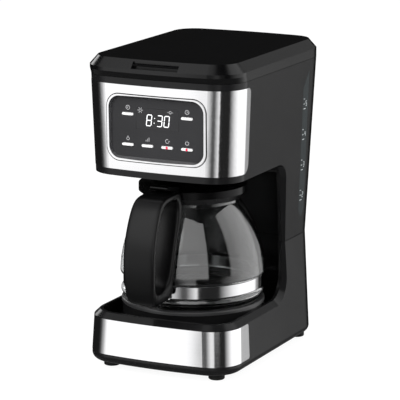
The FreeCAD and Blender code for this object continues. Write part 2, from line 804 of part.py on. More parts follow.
def upper_shell():
    """Upper housing: the column round the tank and the head over the bay."""
    z0 = WAIST_Z + PARTING_GAP
    outer = section_loft(upper_section, z0, BODY_TOP_Z, 0)
    shell = outer.cut(side_prism(bay_outline(0, RIM_Z), -FAR, FAR)).cut(recess(0))
    for tool in bay_bevels():
        shell = shell.cut(tool)
    half, front, back = upper_section(HEAD_Z)
    r = CORNER_R - HEAD_EDGE_SIDE
    low_edge = plan_wire(half - HEAD_EDGE_SIDE, front + HEAD_EDGE_IN, back, r, r, HEAD_Z, BOW_R, BOW_R)
    kept = Part.makeLoft([low_edge, section_wire(upper_section, HEAD_Z + HEAD_EDGE, 0)], True, True)
    shell = shell.cut(box(-FAR, FAR, -FAR, 0, HEAD_Z, HEAD_Z + HEAD_EDGE).cut(kept))
    inner = section_loft(upper_section, WAIST_Z - WALL, BODY_TOP_Z + WALL, WALL)
    inner = inner.cut(side_prism(bay_outline(WALL * 2, RIM_Z), -FAR, FAR)).cut(recess(WALL))
    ledge_z = TOP_DECK_Z - TOP_DECK_T - SEAT_GAP
    ledge = section_loft(upper_section, ledge_z - WALL, ledge_z, WALL / 2)
    ledge = ledge.cut(plan_prism(upper_section, ledge_z, WALL * 2, ledge_z - FAR, ledge_z + CUT))
    shell = shell.cut(inner)
    shell = fuse(shell, ledge, *screw_bosses(upper_section, z0, z0, TANK_Z - SEAT_GAP))
    for x, y in CASE_SCREWS:
        shell = shell.cut(post(x, y, SCREW_R + RUN_CLEAR, z0 - CUT, TANK_Z))
    shell = shell.cut(post(0, AXIS_Y, SPOUT_R + WELL_CLEAR, HEAD_Z - CUT, HEAD_Z + WALL + CUT))
    shell = shell.cut(head_band(CUT, TRIM_T - TRIM_PROUD + TRIM_CLEAR, TRIM_CLEAR))
    shell = shell.cut(panel_window(TRIM_CLEAR))
    shell = shell.cut(gauge_prism(TRIM_CLEAR))
    return shell.cut(lid_scoop())


def lid_back_edge(x):
    """How far behind the hinge the lid's back edge lies at a distance from the middle."""
    half = LID_WIDTH / 2
    on_bow, middle, on_side = corner_points(1, half, HALF_DEPTH, -1, CORNER_R, BOW_R, 0)
    if x < on_bow.x:
        edge = HALF_DEPTH - BOW_R + math.sqrt(BOW_R ** 2 - x ** 2)
    else:
        edge = on_side.y + math.sqrt(CORNER_R ** 2 - (x - half + CORNER_R) ** 2)
    return edge - HINGE_Y


def lid_scoop():
    """Room that the lid's back edge sweeps through as it swings down behind the hinge."""
    steps = 12
    end = LID_WIDTH / 2 - CORNER_R * (1 - math.cos(math.asin(1 - LID_HINGE_SETBACK / CORNER_R)))
    outline = []
    for i in range(-steps, steps + 1):
        x = end * i / steps
        r = math.hypot(max(lid_back_edge(abs(x)), 0), LID_HINGE_RISE) + LID_SWING_CLEAR
        outline.append(V(x, HINGE_Y, HINGE_Z + r))
    outline = [V(-end, HINGE_Y, HINGE_Z)] + outline + [V(end, HINGE_Y, HINGE_Z), V(-end, HINGE_Y, HINGE_Z)]
    return Part.Face(Part.makePolygon(outline)).revolve(V(0, HINGE_Y, HINGE_Z), RIGHT, 360)


def panel_window(grow):
    width = WINDOW_W + grow * 2
    height = WINDOW_H + grow * 2
    return front_prism(0, PANEL_Z, width, height, WINDOW_R + grow, -FAR, PANEL_BACK)


def gauge_prism(grow):
    """Outline of the water window on the right side: a blade, pointed below and cut aslant above."""
    half = GAUGE_W / 2 + grow
    y0 = GAUGE_Y - half
    y1 = GAUGE_Y + half
    point = GAUGE_POINT * 2 / GAUGE_W
    slant = GAUGE_TAPER / GAUGE_W
    low = WAIST_Z + GAUGE_LOW - grow * math.hypot(1, point)
    high = BODY_TOP_Z - GAUGE_HIGH + grow * (slant + math.hypot(1, slant))
    shoulder = low + point * half
    front_high = high - slant * half * 2
    outline = [(GAUGE_Y, low, 0), (y1, shoulder, 0), (y1, high, 0), (y0, front_high, 0), (y0, shoulder, 0)]
    return side_prism(outline, 0, FAR)


def gauge():
    skin = section_loft(upper_section, WAIST_Z + CUT, BODY_TOP_Z, 0)
    skin = skin.cut(section_loft(upper_section, WAIST_Z + CUT, BODY_TOP_Z, WALL))
    return skin.common(gauge_prism(0))


def bottom_cover():
    plate = plan_prism(lower_section, BASE_Z, COVER_INSET, BASE_Z, COVER_Z)
    for x, y in COVER_SCREWS:
        plate = plate.cut(post(x, y, SCREW_R + RUN_CLEAR, BASE_Z - CUT, COVER_Z + CUT))
        plate = plate.cut(post(x, y, SCREW_HEAD_R + SEAT_GAP, BASE_Z - CUT, BASE_Z + SCREW_HEAD_H))
    for x, y in FEET:
        plate = plate.cut(post(x, y, FOOT_PLUG_R + RUN_CLEAR, BASE_Z - CUT, COVER_Z + CUT))
    for i in range(VENTS):
        y = AXIS_Y + (i - VENTS // 2) * VENT_PITCH
        slot = box(-VENT_HALF_L, VENT_HALF_L, y - VENT_HALF_W, y + VENT_HALF_W, BASE_Z - CUT, COVER_Z + CUT)
        plate = plate.cut(slot)
    pillars = [post(x, y, BOSS_R, COVER_Z, POWER_Z) for x, y in POWER_POSTS]
    return fuse(plate, *pillars)


def feet():
    pads = []
    for x, y in FEET:
        pad = post(x, y, FOOT_R, 0, BASE_Z)
        rim = [edge for edge in pad.Edges if abs(edge.BoundBox.ZMax) < 1e-6 and edge.Closed]
        pad = pad.makeFillet(FOOT_HEIGHT / 5, rim)
        pads.append(pad.fuse(post(x, y, FOOT_PLUG_R, BASE_Z, COVER_Z)))
    return Part.makeCompound(pads)


def screw(x, y, z, length):
    """A pan-head screw that points up, with its head's underside at z."""
    return post(x, y, SCREW_HEAD_R, z - SCREW_HEAD_H, z).fuse(post(x, y, SCREW_R, z, z + length))


def case_screws():
    """Screws of the bottom cover and of the joint between the two housings."""
    screws = [screw(x, y, BASE_Z + SCREW_HEAD_H, COVER_SCREW_L) for x, y in COVER_SCREWS]
    screws += [screw(x, y, WAIST_Z - CASE_BOSS_H, CASE_SCREW_L) for x, y in CASE_SCREWS]
    return Part.makeCompound(screws)


def lid_wires(inset, low):
    """Outlines of the lid from its lower edge up to the flat top."""
    half = LID_WIDTH / 2
    low_half, low_front, low_back = upper_section(LID_Z)
    bevel_z = LID_Z + LID_BEVEL
    land_z = bevel_z + LID_LAND
    r = CORNER_R - inset
    bow = BOW_R - inset
    top_in = inset + LID_CHAMFER_IN
    top_r = CORNER_R - top_in
    front = -HALF_DEPTH + inset
    back = HALF_DEPTH - inset
    drop = inset * math.tan(math.pi / 8)
    lip = LID_LIP if inset == 0 else 0
    low_y = front + lip if inset == 0 else low_front + inset
    return [
        plan_wire(low_half - inset, low_y, low_back - inset, r, r, low, bow, bow),
        plan_wire(half - inset, front + inset * LINER_DRAFT, back, r, r, bevel_z, bow, bow),
        plan_wire(half - inset, front, back, r, r, land_z - drop, bow, bow),
        plan_wire(half - top_in + drop, front + LID_CHAMFER_IN - drop, back - LID_CHAMFER_IN + drop,
                  top_r + drop, top_r + drop, TOP_Z - inset, bow, bow),
    ]


def lid_shell():
    """Top cover with its bevelled edge, finger notch and hinge ears."""
    outer = Part.makeLoft(lid_wires(0, LID_Z), True, True)
    inner = Part.makeLoft(lid_wires(LID_T, LID_Z - CUT), True, True)
    shell = outer.cut(inner)
    chamfer_z = LID_Z + LID_BEVEL + LID_LAND
    half = NOTCH_WIDTH / 2
    back = -HALF_DEPTH + NOTCH_DEPTH
    z0 = chamfer_z + NOTCH_RISE
    z1 = TOP_Z - NOTCH_TOP
    pocket = box(-half - NOTCH_WALL, half + NOTCH_WALL, -FAR, back + NOTCH_WALL,
                 z0 - NOTCH_WALL, z1 + NOTCH_TOP)
    shell = fuse(shell, pocket.common(outer)).cut(box(-half, half, -FAR, back, z0, z1))
    ears = []
    for side in (-1, 1):
        x = lid_ear_x(side)
        eye = Part.makeCylinder(HINGE_EYE_R, HINGE_EAR_W, V(x, HINGE_Y, HINGE_Z), RIGHT)
        web = box(x, x + HINGE_EAR_W, HINGE_Y - HINGE_EYE_R, HINGE_Y + HINGE_EYE_R,
                  HINGE_Z, TOP_Z - LID_T / 2)
        ears.append(eye.fuse(web).common(outer))
    shell = fuse(shell, *ears)
    pins = Part.makeCylinder(HINGE_PIN_R + PRESS_CLEAR, LID_WIDTH, V(-LID_WIDTH / 2, HINGE_Y, HINGE_Z), RIGHT)
    reach = HINGE_POST_X + HINGE_EAR_W * 2 + HINGE_GAP
    return shell.cut(pins.common(box(-reach, reach, -FAR, FAR, 0, TOP_Z)))


def lid_ear_x(side):
    """Lower X of a lid ear, which stands on the outer side of its hinge post."""
    near = HINGE_POST_X + HINGE_EAR_W / 2 + HINGE_GAP
    return near if side > 0 else -near - HINGE_EAR_W


def lid_pins():
    pins = []
    for side in (-1, 1):
        near = HINGE_POST_X - HINGE_EAR_W / 2
        length = HINGE_EAR_W * 2 + HINGE_GAP
        x = near if side > 0 else -near - length
        pins.append(Part.makeCylinder(HINGE_PIN_R, length, V(x, HINGE_Y, HINGE_Z), RIGHT))
    return Part.makeCompound(pins)


def grip_bar():
    """The bar across the lid's finger notch."""
    chamfer_z = LID_Z + LID_BEVEL + LID_LAND
    z = (chamfer_z + NOTCH_RISE + TOP_Z - NOTCH_TOP) / 2
    y = -HALF_DEPTH + NOTCH_DEPTH / 2
    half = NOTCH_WIDTH / 2 - PRESS_CLEAR
    bar = box(-half, half, y, y + GRIP_BAR_T, z - GRIP_BAR_T / 2, z + GRIP_BAR_T / 2)
    return bar.makeFillet(GRIP_BAR_T / 4, [edge for edge in bar.Edges if edge.Length > NOTCH_WIDTH / 2])


def lid_liner():
    """Inner panel of the lid, with the bosses that hold it under the top."""
    z = LID_Z + LINER_RISE
    plate = plan_prism(upper_section, LID_Z, LID_T + LINER_CLEAR, z, z + LINER_T)
    plate = plate.common(box(-FAR, FAR, -FAR, HINGE_Y - LINER_BACK, z, z + LINER_T))
    plate = plate.common(Part.makeLoft(lid_wires(LID_T + LINER_CLEAR, LID_Z - CUT), True, True))
    half = NOTCH_WIDTH / 2 + NOTCH_WALL + LINER_CLEAR
    notch_back = -HALF_DEPTH + NOTCH_DEPTH + NOTCH_WALL + LINER_CLEAR
    plate = plate.cut(box(-half, half, -FAR, notch_back, z - CUT, z + LINER_T + CUT))
    stays = []
    for x, y in both_sides(STAY_X, STAY_FRONT) + both_sides(STAY_X, STAY_BACK):
        stays.append(post(x, y, BOSS_R, z, TOP_Z - LID_T - SEAT_GAP))
    return fuse(plate, *stays)


def spray_head():
    """Perforated cup over the basket and the channel that feeds it from the riser."""
    top = LID_Z + LINER_RISE - SEAT_GAP
    low = top - SPRAY_H
    floor = low + SPRAY_T
    cup = post(0, AXIS_Y, SPRAY_R, low, top)
    run = V(-TUBE_X, TUBE_Y - AXIS_Y, 0)
    half = TUBE_R + CHANNEL_SIDE
    angle = math.degrees(math.atan2(run.y, run.x))
    channel = box(0, run.Length, -half, half, low, top).fuse(post(run.Length, 0, half, low, top))
    bore = box(0, run.Length, SPRAY_T - half, half - SPRAY_T, floor, top)
    bore = bore.fuse(post(run.Length, 0, half - SPRAY_T, floor, top))
    for piece in (channel, bore):
        piece.rotate(V(0, 0, 0), UP, angle)
        piece.translate(V(0, AXIS_Y, 0))
    head = fuse(cup, channel)
    head = head.cut(post(0, AXIS_Y, SPRAY_R - SPRAY_T, floor, top)).cut(bore)
    head = head.cut(post(-TUBE_X, TUBE_Y, TUBE_BORE, low - CUT, top))
    for count, share in SPRAY_ROWS:
        radius = SPRAY_R * share
        for i in range(count):
            turn = 2 * math.pi * i / count
            x = radius * math.cos(turn)
            y = AXIS_Y + radius * math.sin(turn)
            head = head.cut(post(x, y, SPRAY_HOLE_R, low - CUT, floor + CUT))
    return head


def brew_chamber():
    """Inner deck under the lid, the well round the basket and the lid's hinge posts."""
    z0 = TOP_DECK_Z - TOP_DECK_T
    deck = plan_prism(upper_section, z0, WALL + SEAT_GAP, z0, TOP_DECK_Z)
    well_r = BASKET_R + WELL_CLEAR
    foot_r = BASKET_FOOT_R + WELL_CLEAR
    well = cone(foot_r + WELL_T, well_r + WELL_T, WELL_FLOOR_Z - WELL_T, TOP_DECK_Z)
    posts = []
    for side in (-1, 1):
        x = side * HINGE_POST_X - HINGE_EAR_W / 2
        back = HINGE_Y - math.hypot(LID_HINGE_SETBACK, LID_HINGE_RISE) - HINGE_GAP
        stem = box(x, x + HINGE_EAR_W, HINGE_Y - HINGE_ARM - HINGE_EYE_R, back, z0, HINGE_Z + HINGE_EYE_R)
        arm = box(x, x + HINGE_EAR_W, back, HINGE_Y, HINGE_Z - HINGE_EYE_R, HINGE_Z + HINGE_EYE_R)
        eye = Part.makeCylinder(HINGE_EYE_R, HINGE_EAR_W, V(x, HINGE_Y, HINGE_Z), RIGHT)
        posts.append(stem.fuse(arm).fuse(eye))
    chamber = fuse(deck, well, *posts)
    chamber = chamber.cut(cone(foot_r, well_r, WELL_FLOOR_Z, TOP_DECK_Z))
    chamber = chamber.cut(post(0, AXIS_Y, well_r, TOP_DECK_Z, BODY_TOP_Z))
    chamber = chamber.cut(post(0, AXIS_Y, SPOUT_R + WELL_CLEAR, HEAD_Z, WELL_FLOOR_Z + CUT))
    fill_back = HINGE_Y - LINER_BACK
    chamber = chamber.cut(box(-FILL_HALF, FILL_HALF, BAY_BACK + WALL + TANK_CLEAR + TANK_T, fill_back,
                              z0 - CUT, TOP_DECK_Z + CUT))
    chamber = chamber.cut(post(-TUBE_X, TUBE_Y, TUBE_R + RUN_CLEAR, z0 - CUT, TOP_DECK_Z + CUT))
    pins = Part.makeCylinder(HINGE_PIN_R + RUN_CLEAR, LID_WIDTH, V(-LID_WIDTH / 2, HINGE_Y, HINGE_Z), RIGHT)
    return chamber.cut(pins)


def bezel():
    """Bright frame that funnels in from the stainless band to the sunken panel."""
    block = panel_window(0).common(section_loft(upper_section, HEAD_Z + CUT, BODY_TOP_Z, -BEZEL_PROUD))
    front = upper_section(PANEL_Z)[1] - BEZEL_PROUD * 2
    mouth_r = WINDOW_R - BEZEL_LIP / 2
    mouth = front_wire(0, PANEL_Z, WINDOW_W - BEZEL_LIP, WINDOW_H - BEZEL_LIP, mouth_r, front)
    throat = front_wire(0, PANEL_Z, PANEL_W, PANEL_H, PANEL_R, PANEL_FRONT)
    block = block.cut(Part.makeLoft([mouth, throat], True, True))
    seat = front_prism(0, PANEL_Z, PANEL_W, PANEL_H, PANEL_R, PANEL_FRONT, PANEL_BACK + CUT)
    return block.cut(seat)


def key_places():
    """Middle of each button from the panel's middle: four in a row, and one over each end."""
    names = ["clean", "strength", "program", "power"]
    row = [(i - (len(names) - 1) / 2) * KEY_PITCH for i in range(len(names))]
    places = {"hour": (row[0], KEY_ROW_HIGH), "minute": (row[-1], KEY_ROW_HIGH)}
    for name, x in zip(names, row):
        places[name] = (x, KEY_ROW_LOW)
    return places


def board_posts():
    half_w = PANEL_W / 2 - POST_R * 2
    half_h = PANEL_H / 2 - POST_R * 2
    return [(x, z) for x in (-half_w, half_w) for z in (-half_h, half_h)]


def control_panel():
    plate = front_prism(0, PANEL_Z, PANEL_W - SEAT_GAP, PANEL_H - SEAT_GAP, PANEL_R - SEAT_GAP / 2,
                        PANEL_FRONT, PANEL_BACK)
    for x, z in board_posts():
        plate = plate.fuse(Part.makeCylinder(POST_R, BOARD_GAP, V(x, PANEL_BACK, PANEL_Z + z), BACK))
        plate = plate.cut(Part.makeCylinder(BOARD_SCREW_R, BOARD_GAP, V(x, PANEL_BACK, PANEL_Z + z), BACK))
    front = PANEL_FRONT - CUT
    back = PANEL_BACK + CUT
    hole_l = KEY_L + SLIDE_CLEAR * 2
    hole_h = KEY_H + SLIDE_CLEAR * 2
    for x, z in key_places().values():
        plate = plate.cut(front_prism(x, PANEL_Z + z, hole_l, hole_h, hole_h * KEY_ROUND, front, back))
    return plate.cut(front_prism(0, PANEL_Z + DISPLAY_RISE, DISPLAY_W, DISPLAY_H, DISPLAY_R, front, back))


def display_lens():
    return front_prism(0, PANEL_Z + DISPLAY_RISE, DISPLAY_W - SEAT_GAP, DISPLAY_H - SEAT_GAP, DISPLAY_R,
                       PANEL_FRONT, PANEL_BACK)


def lcd_module():
    return front_prism(0, PANEL_Z + DISPLAY_RISE, DISPLAY_W + LCD_MARGIN, DISPLAY_H + LCD_MARGIN, LCD_R,
                       PANEL_BACK + SEAT_GAP, BOARD_FRONT)


def key(name):
    x, z = key_places()[name]
    z += PANEL_Z
    flange_y = PANEL_BACK + SEAT_GAP / 2
    cap = front_prism(x, z, KEY_L, KEY_H, KEY_H * KEY_ROUND, PANEL_FRONT - KEY_PROUD, flange_y)
    cap = cap.makeFillet(KEY_PROUD / 4, [edge for edge in cap.Edges
                                         if edge.BoundBox.YMax < PANEL_FRONT - KEY_PROUD + 1e-6])
    rim = KEY_FLANGE_RIM * 2
    flange = front_prism(x, z, KEY_L + rim, KEY_H + rim, KEY_H * KEY_ROUND, flange_y, flange_y + KEY_FLANGE)
    body = cap.fuse(flange).removeSplitter()
    if name in ("program", "power"):
        body = body.cut(Part.makeCylinder(LAMP_R + PRESS_CLEAR, FAR, V(x, -FAR, z), BACK))
    return body


def lamp(name):
    x, z = key_places()[name]
    y = PANEL_FRONT - KEY_PROUD
    length = PANEL_T + KEY_PROUD + KEY_FLANGE
    pip = Part.makeCylinder(LAMP_R, length, V(x, y, PANEL_Z + z), BACK)
    return pip.makeFillet(LAMP_R / 4, [edge for edge in pip.Edges
                                       if edge.Closed and edge.BoundBox.YMax < y + 1e-6])


def control_board():
    board = front_prism(0, PANEL_Z, PANEL_W - BOARD_MARGIN, PANEL_H - BOARD_MARGIN, BOARD_R,
                        BOARD_FRONT, BOARD_BACK)
    for x, z in board_posts():
        at = V(x, BOARD_FRONT, PANEL_Z + z)
        board = board.cut(Part.makeCylinder(BOARD_SCREW_R + RUN_CLEAR, BOARD_T, at, BACK))
    chip = box(-CHIP_HALF, CHIP_HALF, BOARD_BACK, BOARD_BACK + CHIP_T,
               PANEL_Z + CHIP_LOW, PANEL_Z + CHIP_HIGH)
    plug_z = PANEL_Z + PLUG_RISE
    plug = box(PLUG_X - PLUG_HALF, PLUG_X + PLUG_HALF, BOARD_BACK, BOARD_BACK + PLUG_T,
               plug_z - PLUG_HALF_H, plug_z + PLUG_HALF_H)
    return fuse(board, chip, plug, *switches())


def switches():
    """Push switches on the board, one behind each button."""
    cans = []
    height = BOARD_GAP - KEY_FLANGE - SEAT_GAP / 2 - KEY_TRAVEL - SLIDE_CLEAR
    for x, z in key_places().values():
        can = box(x - SWITCH_W / 2, x + SWITCH_W / 2, BOARD_FRONT - height, BOARD_FRONT,
                  PANEL_Z + z - SWITCH_W / 2, PANEL_Z + z + SWITCH_W / 2)
        cans.append(can)
    return cans


def board_screws():
    screws = []
    for x, z in board_posts():
        head = Part.makeCylinder(BOARD_HEAD_R, SCREW_HEAD_H, V(x, BOARD_BACK, PANEL_Z + z), BACK)
        shank = Part.makeCylinder(BOARD_SCREW_R - PRESS_CLEAR, BOARD_T + BOARD_GAP / 2,
                                  V(x, BOARD_FRONT - BOARD_GAP / 2, PANEL_Z + z), BACK)
        screws.append(head.fuse(shank))
    return Part.makeCompound(screws)


def brew_basket():
    """Funnel basket with its spout, the guide of the drip stop and the ears of the bail."""
    body = cone(BASKET_FOOT_R, BASKET_R, BASKET_FLOOR_Z, BASKET_TOP_Z - BASKET_T)
    flange = post(0, AXIS_Y, BASKET_R + BASKET_FLANGE, BASKET_TOP_Z - BASKET_T, BASKET_TOP_Z)
    spout = post(0, AXIS_Y, SPOUT_R, SPOUT_Z, BASKET_FLOOR_Z)
    basket = fuse(body, flange, spout)
    inner_low = BASKET_FLOOR_Z + BASKET_T
    inner_high = BASKET_TOP_Z - BASKET_T
    basket = basket.cut(cone(BASKET_FOOT_R - BASKET_T, BASKET_R - BASKET_T, inner_low, inner_high))
    basket = basket.cut(post(0, AXIS_Y, BASKET_R - BASKET_T, inner_high, BASKET_TOP_Z))
    basket = basket.cut(post(0, AXIS_Y, SPOUT_BORE, SPOUT_Z, BASKET_FLOOR_Z))
    basket = basket.cut(post(0, AXIS_Y, THROAT_R, SPOUT_Z, inner_low))
    eye = VALVE_STEM_R + SLIDE_CLEAR
    guide_top = GUIDE_Z + GUIDE_H
    hub = ring(0, AXIS_Y, eye + GUIDE_T, eye, GUIDE_Z, guide_top)
    arms = []
    for i in range(GUIDE_ARMS):
        arm = box(eye + GUIDE_T / 2, SPOUT_BORE + GUIDE_T / 2,
                  AXIS_Y - GUIDE_ARM_HALF, AXIS_Y + GUIDE_ARM_HALF, GUIDE_Z, guide_top)
        arm.rotate(V(0, AXIS_Y, 0), UP, 360 / GUIDE_ARMS * i)
        arms.append(arm)
    ears = []
    for side in (-1, 1):
        inner_x = BAIL_R + BAIL_W / 2 + SLIDE_CLEAR
        outer_x = BASKET_R + BASKET_FLANGE
        ear = box(inner_x, outer_x, AXIS_Y - BAIL_EAR_HALF, AXIS_Y + BAIL_EAR_HALF,
                  BASKET_TOP_Z - BASKET_T, BAIL_Z + BAIL_EAR_HALF)
        pin_l = BAIL_W + SLIDE_CLEAR + BAIL_PIN_LAP
        pin = Part.makeCylinder(HINGE_PIN_R, pin_l, V(BAIL_R - BAIL_W / 2, AXIS_Y, BAIL_Z), RIGHT)
        both = ear.fuse(pin)
        if side < 0:
            both = both.mirror(V(0, 0, 0), RIGHT)
        ears.append(both)
    return fuse(basket, hub, *arms, *ears)


def basket_bail():
    """Folding handle that lies round the front half of the basket's flange."""
    z0 = BAIL_Z - BAIL_T / 2
    hoop = ring(0, AXIS_Y, BAIL_R + BAIL_W / 2, BAIL_R - BAIL_W / 2, z0, z0 + BAIL_T)
    hoop = hoop.common(box(-FAR, FAR, -FAR, AXIS_Y, 0, TOP_Z))
    eyes = []
    for side in (-1, 1):
        x = side * BAIL_R - BAIL_W / 2
        eyes.append(Part.makeCylinder(HINGE_PIN_R + BAIL_EYE_T, BAIL_W, V(x, AXIS_Y, BAIL_Z), RIGHT))
    bail = fuse(hoop, *eyes)
    bore = Part.makeCylinder(HINGE_PIN_R + RUN_CLEAR, LID_WIDTH, V(-LID_WIDTH / 2, AXIS_Y, BAIL_Z), RIGHT)
    return bail.cut(bore)


def filter_cone(offset, z0, z1):
    """A cone that lies a set distance inside the basket's inner wall."""
    low = BASKET_FLOOR_Z + BASKET_T
    high = BASKET_TOP_Z - BASKET_T
    r_low = BASKET_FOOT_R - BASKET_T
    r_high = BASKET_R - BASKET_T
    r0 = blend(z0, low, r_low, high, r_high) - offset
    r1 = blend(z1, low, r_low, high, r_high) - offset
    return cone(r0, r1, z0, z1)


def filter_frame():
    """Ribbed frame of the reusable filter."""
    outer = SLIDE_CLEAR
    inner = outer + FILTER_T
    rim_z = FILTER_TOP_Z - FILTER_RIM
    shell = filter_cone(outer, FILTER_LOW_Z, FILTER_TOP_Z).cut(filter_cone(inner, FILTER_LOW_Z, FILTER_TOP_Z))
    floor_z = FILTER_LOW_Z + FILTER_T
    sill_z = floor_z + FILTER_SILL
    frame = fuse(shell, filter_cone(inner - FILTER_LAP, FILTER_LOW_Z, floor_z))
    gap = 2 * math.pi / FILTER_RIBS
    spread = gap / 2 - FILTER_RIB_HALF / BASKET_R
    reach = BASKET_R * 1.5
    for i in range(FILTER_RIBS):
        turn = gap * (i + 0.5)
        corner = [V(0, AXIS_Y, sill_z)]
        for side in (turn - spread, turn + spread):
            corner.append(V(reach * math.cos(side), AXIS_Y + reach * math.sin(side), sill_z))
        corner.append(corner[0])
        wedge = Part.Face(Part.makePolygon(corner)).extrude(V(0, 0, rim_z - sill_z))
        frame = frame.cut(wedge.cut(post(0, AXIS_Y, BASKET_FOOT_R / 2, 0, TOP_Z)))
    return frame


def filter_mesh():
    """Fine mesh cone inside the filter's frame."""
    outer = SLIDE_CLEAR + FILTER_T + MESH_GAP
    z0 = FILTER_LOW_Z + FILTER_T + MESH_GAP
    z1 = FILTER_TOP_Z - MESH_DROP
    return filter_cone(outer, z0, z1).cut(filter_cone(outer + MESH_T, z0, z1))


def on_dome(z, inset):
    """Radius of the jar's shoulder at a height, a set distance inside its outer face."""
    return JAR_R - JAR_DOME_R + math.sqrt((JAR_DOME_R - inset) ** 2 - (z - SHOULDER_Z) ** 2)


def jar_foot(inset):
    """Floor of the jar and the curve that rises from it to the bulge under the groove."""
    centre = V(JAR_FOOT_R, 0, JAR_Z + FOOT_CURVE_R)
    r = FOOT_CURVE_R - inset
    turn = math.asin((BULGE_REACH - JAR_FOOT_R) / FOOT_CURVE_R)
    start = V(JAR_FOOT_R, 0, JAR_Z + inset)
    middle = centre + V(math.sin(turn / 2), 0, -math.cos(turn / 2)) * r
    end = centre + V(math.sin(turn), 0, -math.cos(turn)) * r
    inward = (centre - end).normalize()
    return [Part.LineSegment(V(0, 0, JAR_Z + inset), start), Part.Arc(start, middle, end)], end, inward


def jar_top(start, inset):
    """Shoulder, neck and mouth of the jar from a point on the shoulder, and the way back down."""
    centre = V(JAR_R - JAR_DOME_R, 0, SHOULDER_Z)
    r = JAR_DOME_R - inset
    neck = JAR_NECK_R - inset
    first = math.asin((start.z - SHOULDER_Z) / r)
    last = math.acos((neck - centre.x) / r)
    half_way = (first + last) / 2
    middle = centre + V(math.cos(half_way), 0, math.sin(half_way)) * r
    end = centre + V(math.cos(last), 0, math.sin(last)) * r
    mouth = V(neck, 0, MOUTH_Z)
    return [
        Part.Arc(start, middle, end),
        Part.LineSegment(end, mouth),
        Part.LineSegment(mouth, V(0, 0, MOUTH_Z)),
        Part.LineSegment(V(0, 0, MOUTH_Z), V(0, 0, JAR_Z + inset)),
    ]


def jar_outside():
    """The jar's outer face: foot, bulge, groove for the band, rounded lip and shoulder."""
    curves, bulge, inward = jar_foot(0)
    groove_low = V(GROOVE_R, 0, GROOVE_Z)
    chord = groove_low - bulge
    r = chord.dot(chord) / (2 * chord.dot(inward))
    centre = bulge + inward * r
    outward = ((bulge - centre).normalize() + (groove_low - centre).normalize()).normalize()
    groove_high = V(GROOVE_R, 0, GROOVE_Z + GROOVE_H)
    lip_z = groove_high.z + JAR_LIP_R
    lip = V(on_dome(lip_z, 0), 0, lip_z)
    under = V(lip.x - JAR_LIP_R, 0, groove_high.z)
    lip_middle = V(under.x, 0, lip_z) + V(1, 0, -1).normalize() * JAR_LIP_R
    curves += [
        Part.Arc(bulge, centre + outward * r, groove_low),
        Part.LineSegment(groove_low, groove_high),
        Part.LineSegment(groove_high, under),
        Part.Arc(under, lip_middle, lip),
    ]
    return turned(curves + jar_top(lip, 0))


def jar_inside():
    """The jar's inner face, which follows the groove more softly."""
    curves, bulge, inward = jar_foot(JAR_T)
    r = GROOVE_R - JAR_T
    low = V(r, 0, GROOVE_Z + GROOVE_EASE)
    high = V(r, 0, GROOVE_Z + GROOVE_H)
    shoulder_z = high.z + JAR_LIP_R + GROOVE_EASE
    shoulder = V(on_dome(shoulder_z, JAR_T), 0, shoulder_z)
    for start, end in ((bulge, low), (low, high), (high, shoulder)):
        curves.append(Part.LineSegment(start, end))
    return turned(curves + jar_top(shoulder, JAR_T))


def carafe_jar():
    return jar_outside().cut(jar_inside())


def band_screw_hole():
    """Clearance hole along the screw that ties the handle's foot to the band."""
    end = V(0, AXIS_Y - BAND_SCREW_IN - BAND_SCREW_L - CUT, SCREW_LINE_Z)
    return Part.makeCylinder(SCREW_R + RUN_CLEAR, BAND_SCREW_L + CUT * 2, end, BACK)


def carafe_band():
    """Steel band in the jar's groove, with the clasp that carries the handle's foot."""
    inner = GROOVE_R + BAND_CLEAR
    top = BAND_Z + BAND_H
    band = ring(0, AXIS_Y, inner + BAND_T, inner, BAND_Z, top)
    clasp_front = AXIS_Y - HANDLE_FOOT_IN + SEAT_GAP
    clasp = box(-CLASP_HALF, CLASP_HALF, clasp_front, AXIS_Y - inner + CLASP_HALF / 2, BAND_Z, top)
    clasp = clasp.cut(post(0, AXIS_Y, inner, BAND_Z, top))
    return fuse(band, clasp).cut(band_screw_hole())


def carafe_collar():
    inner = JAR_NECK_R + BAND_CLEAR
    body = cone(inner + COLLAR_T, inner + COLLAR_T + COLLAR_FLARE, COLLAR_Z, MOUTH_Z)
    return body.cut(post(0, AXIS_Y, inner, COLLAR_Z, MOUTH_Z))


def handle_place(u, v):
    """A point of the handle's side view: u is the reach from the carafe's axis."""
    return V(0, AXIS_Y - u, v)


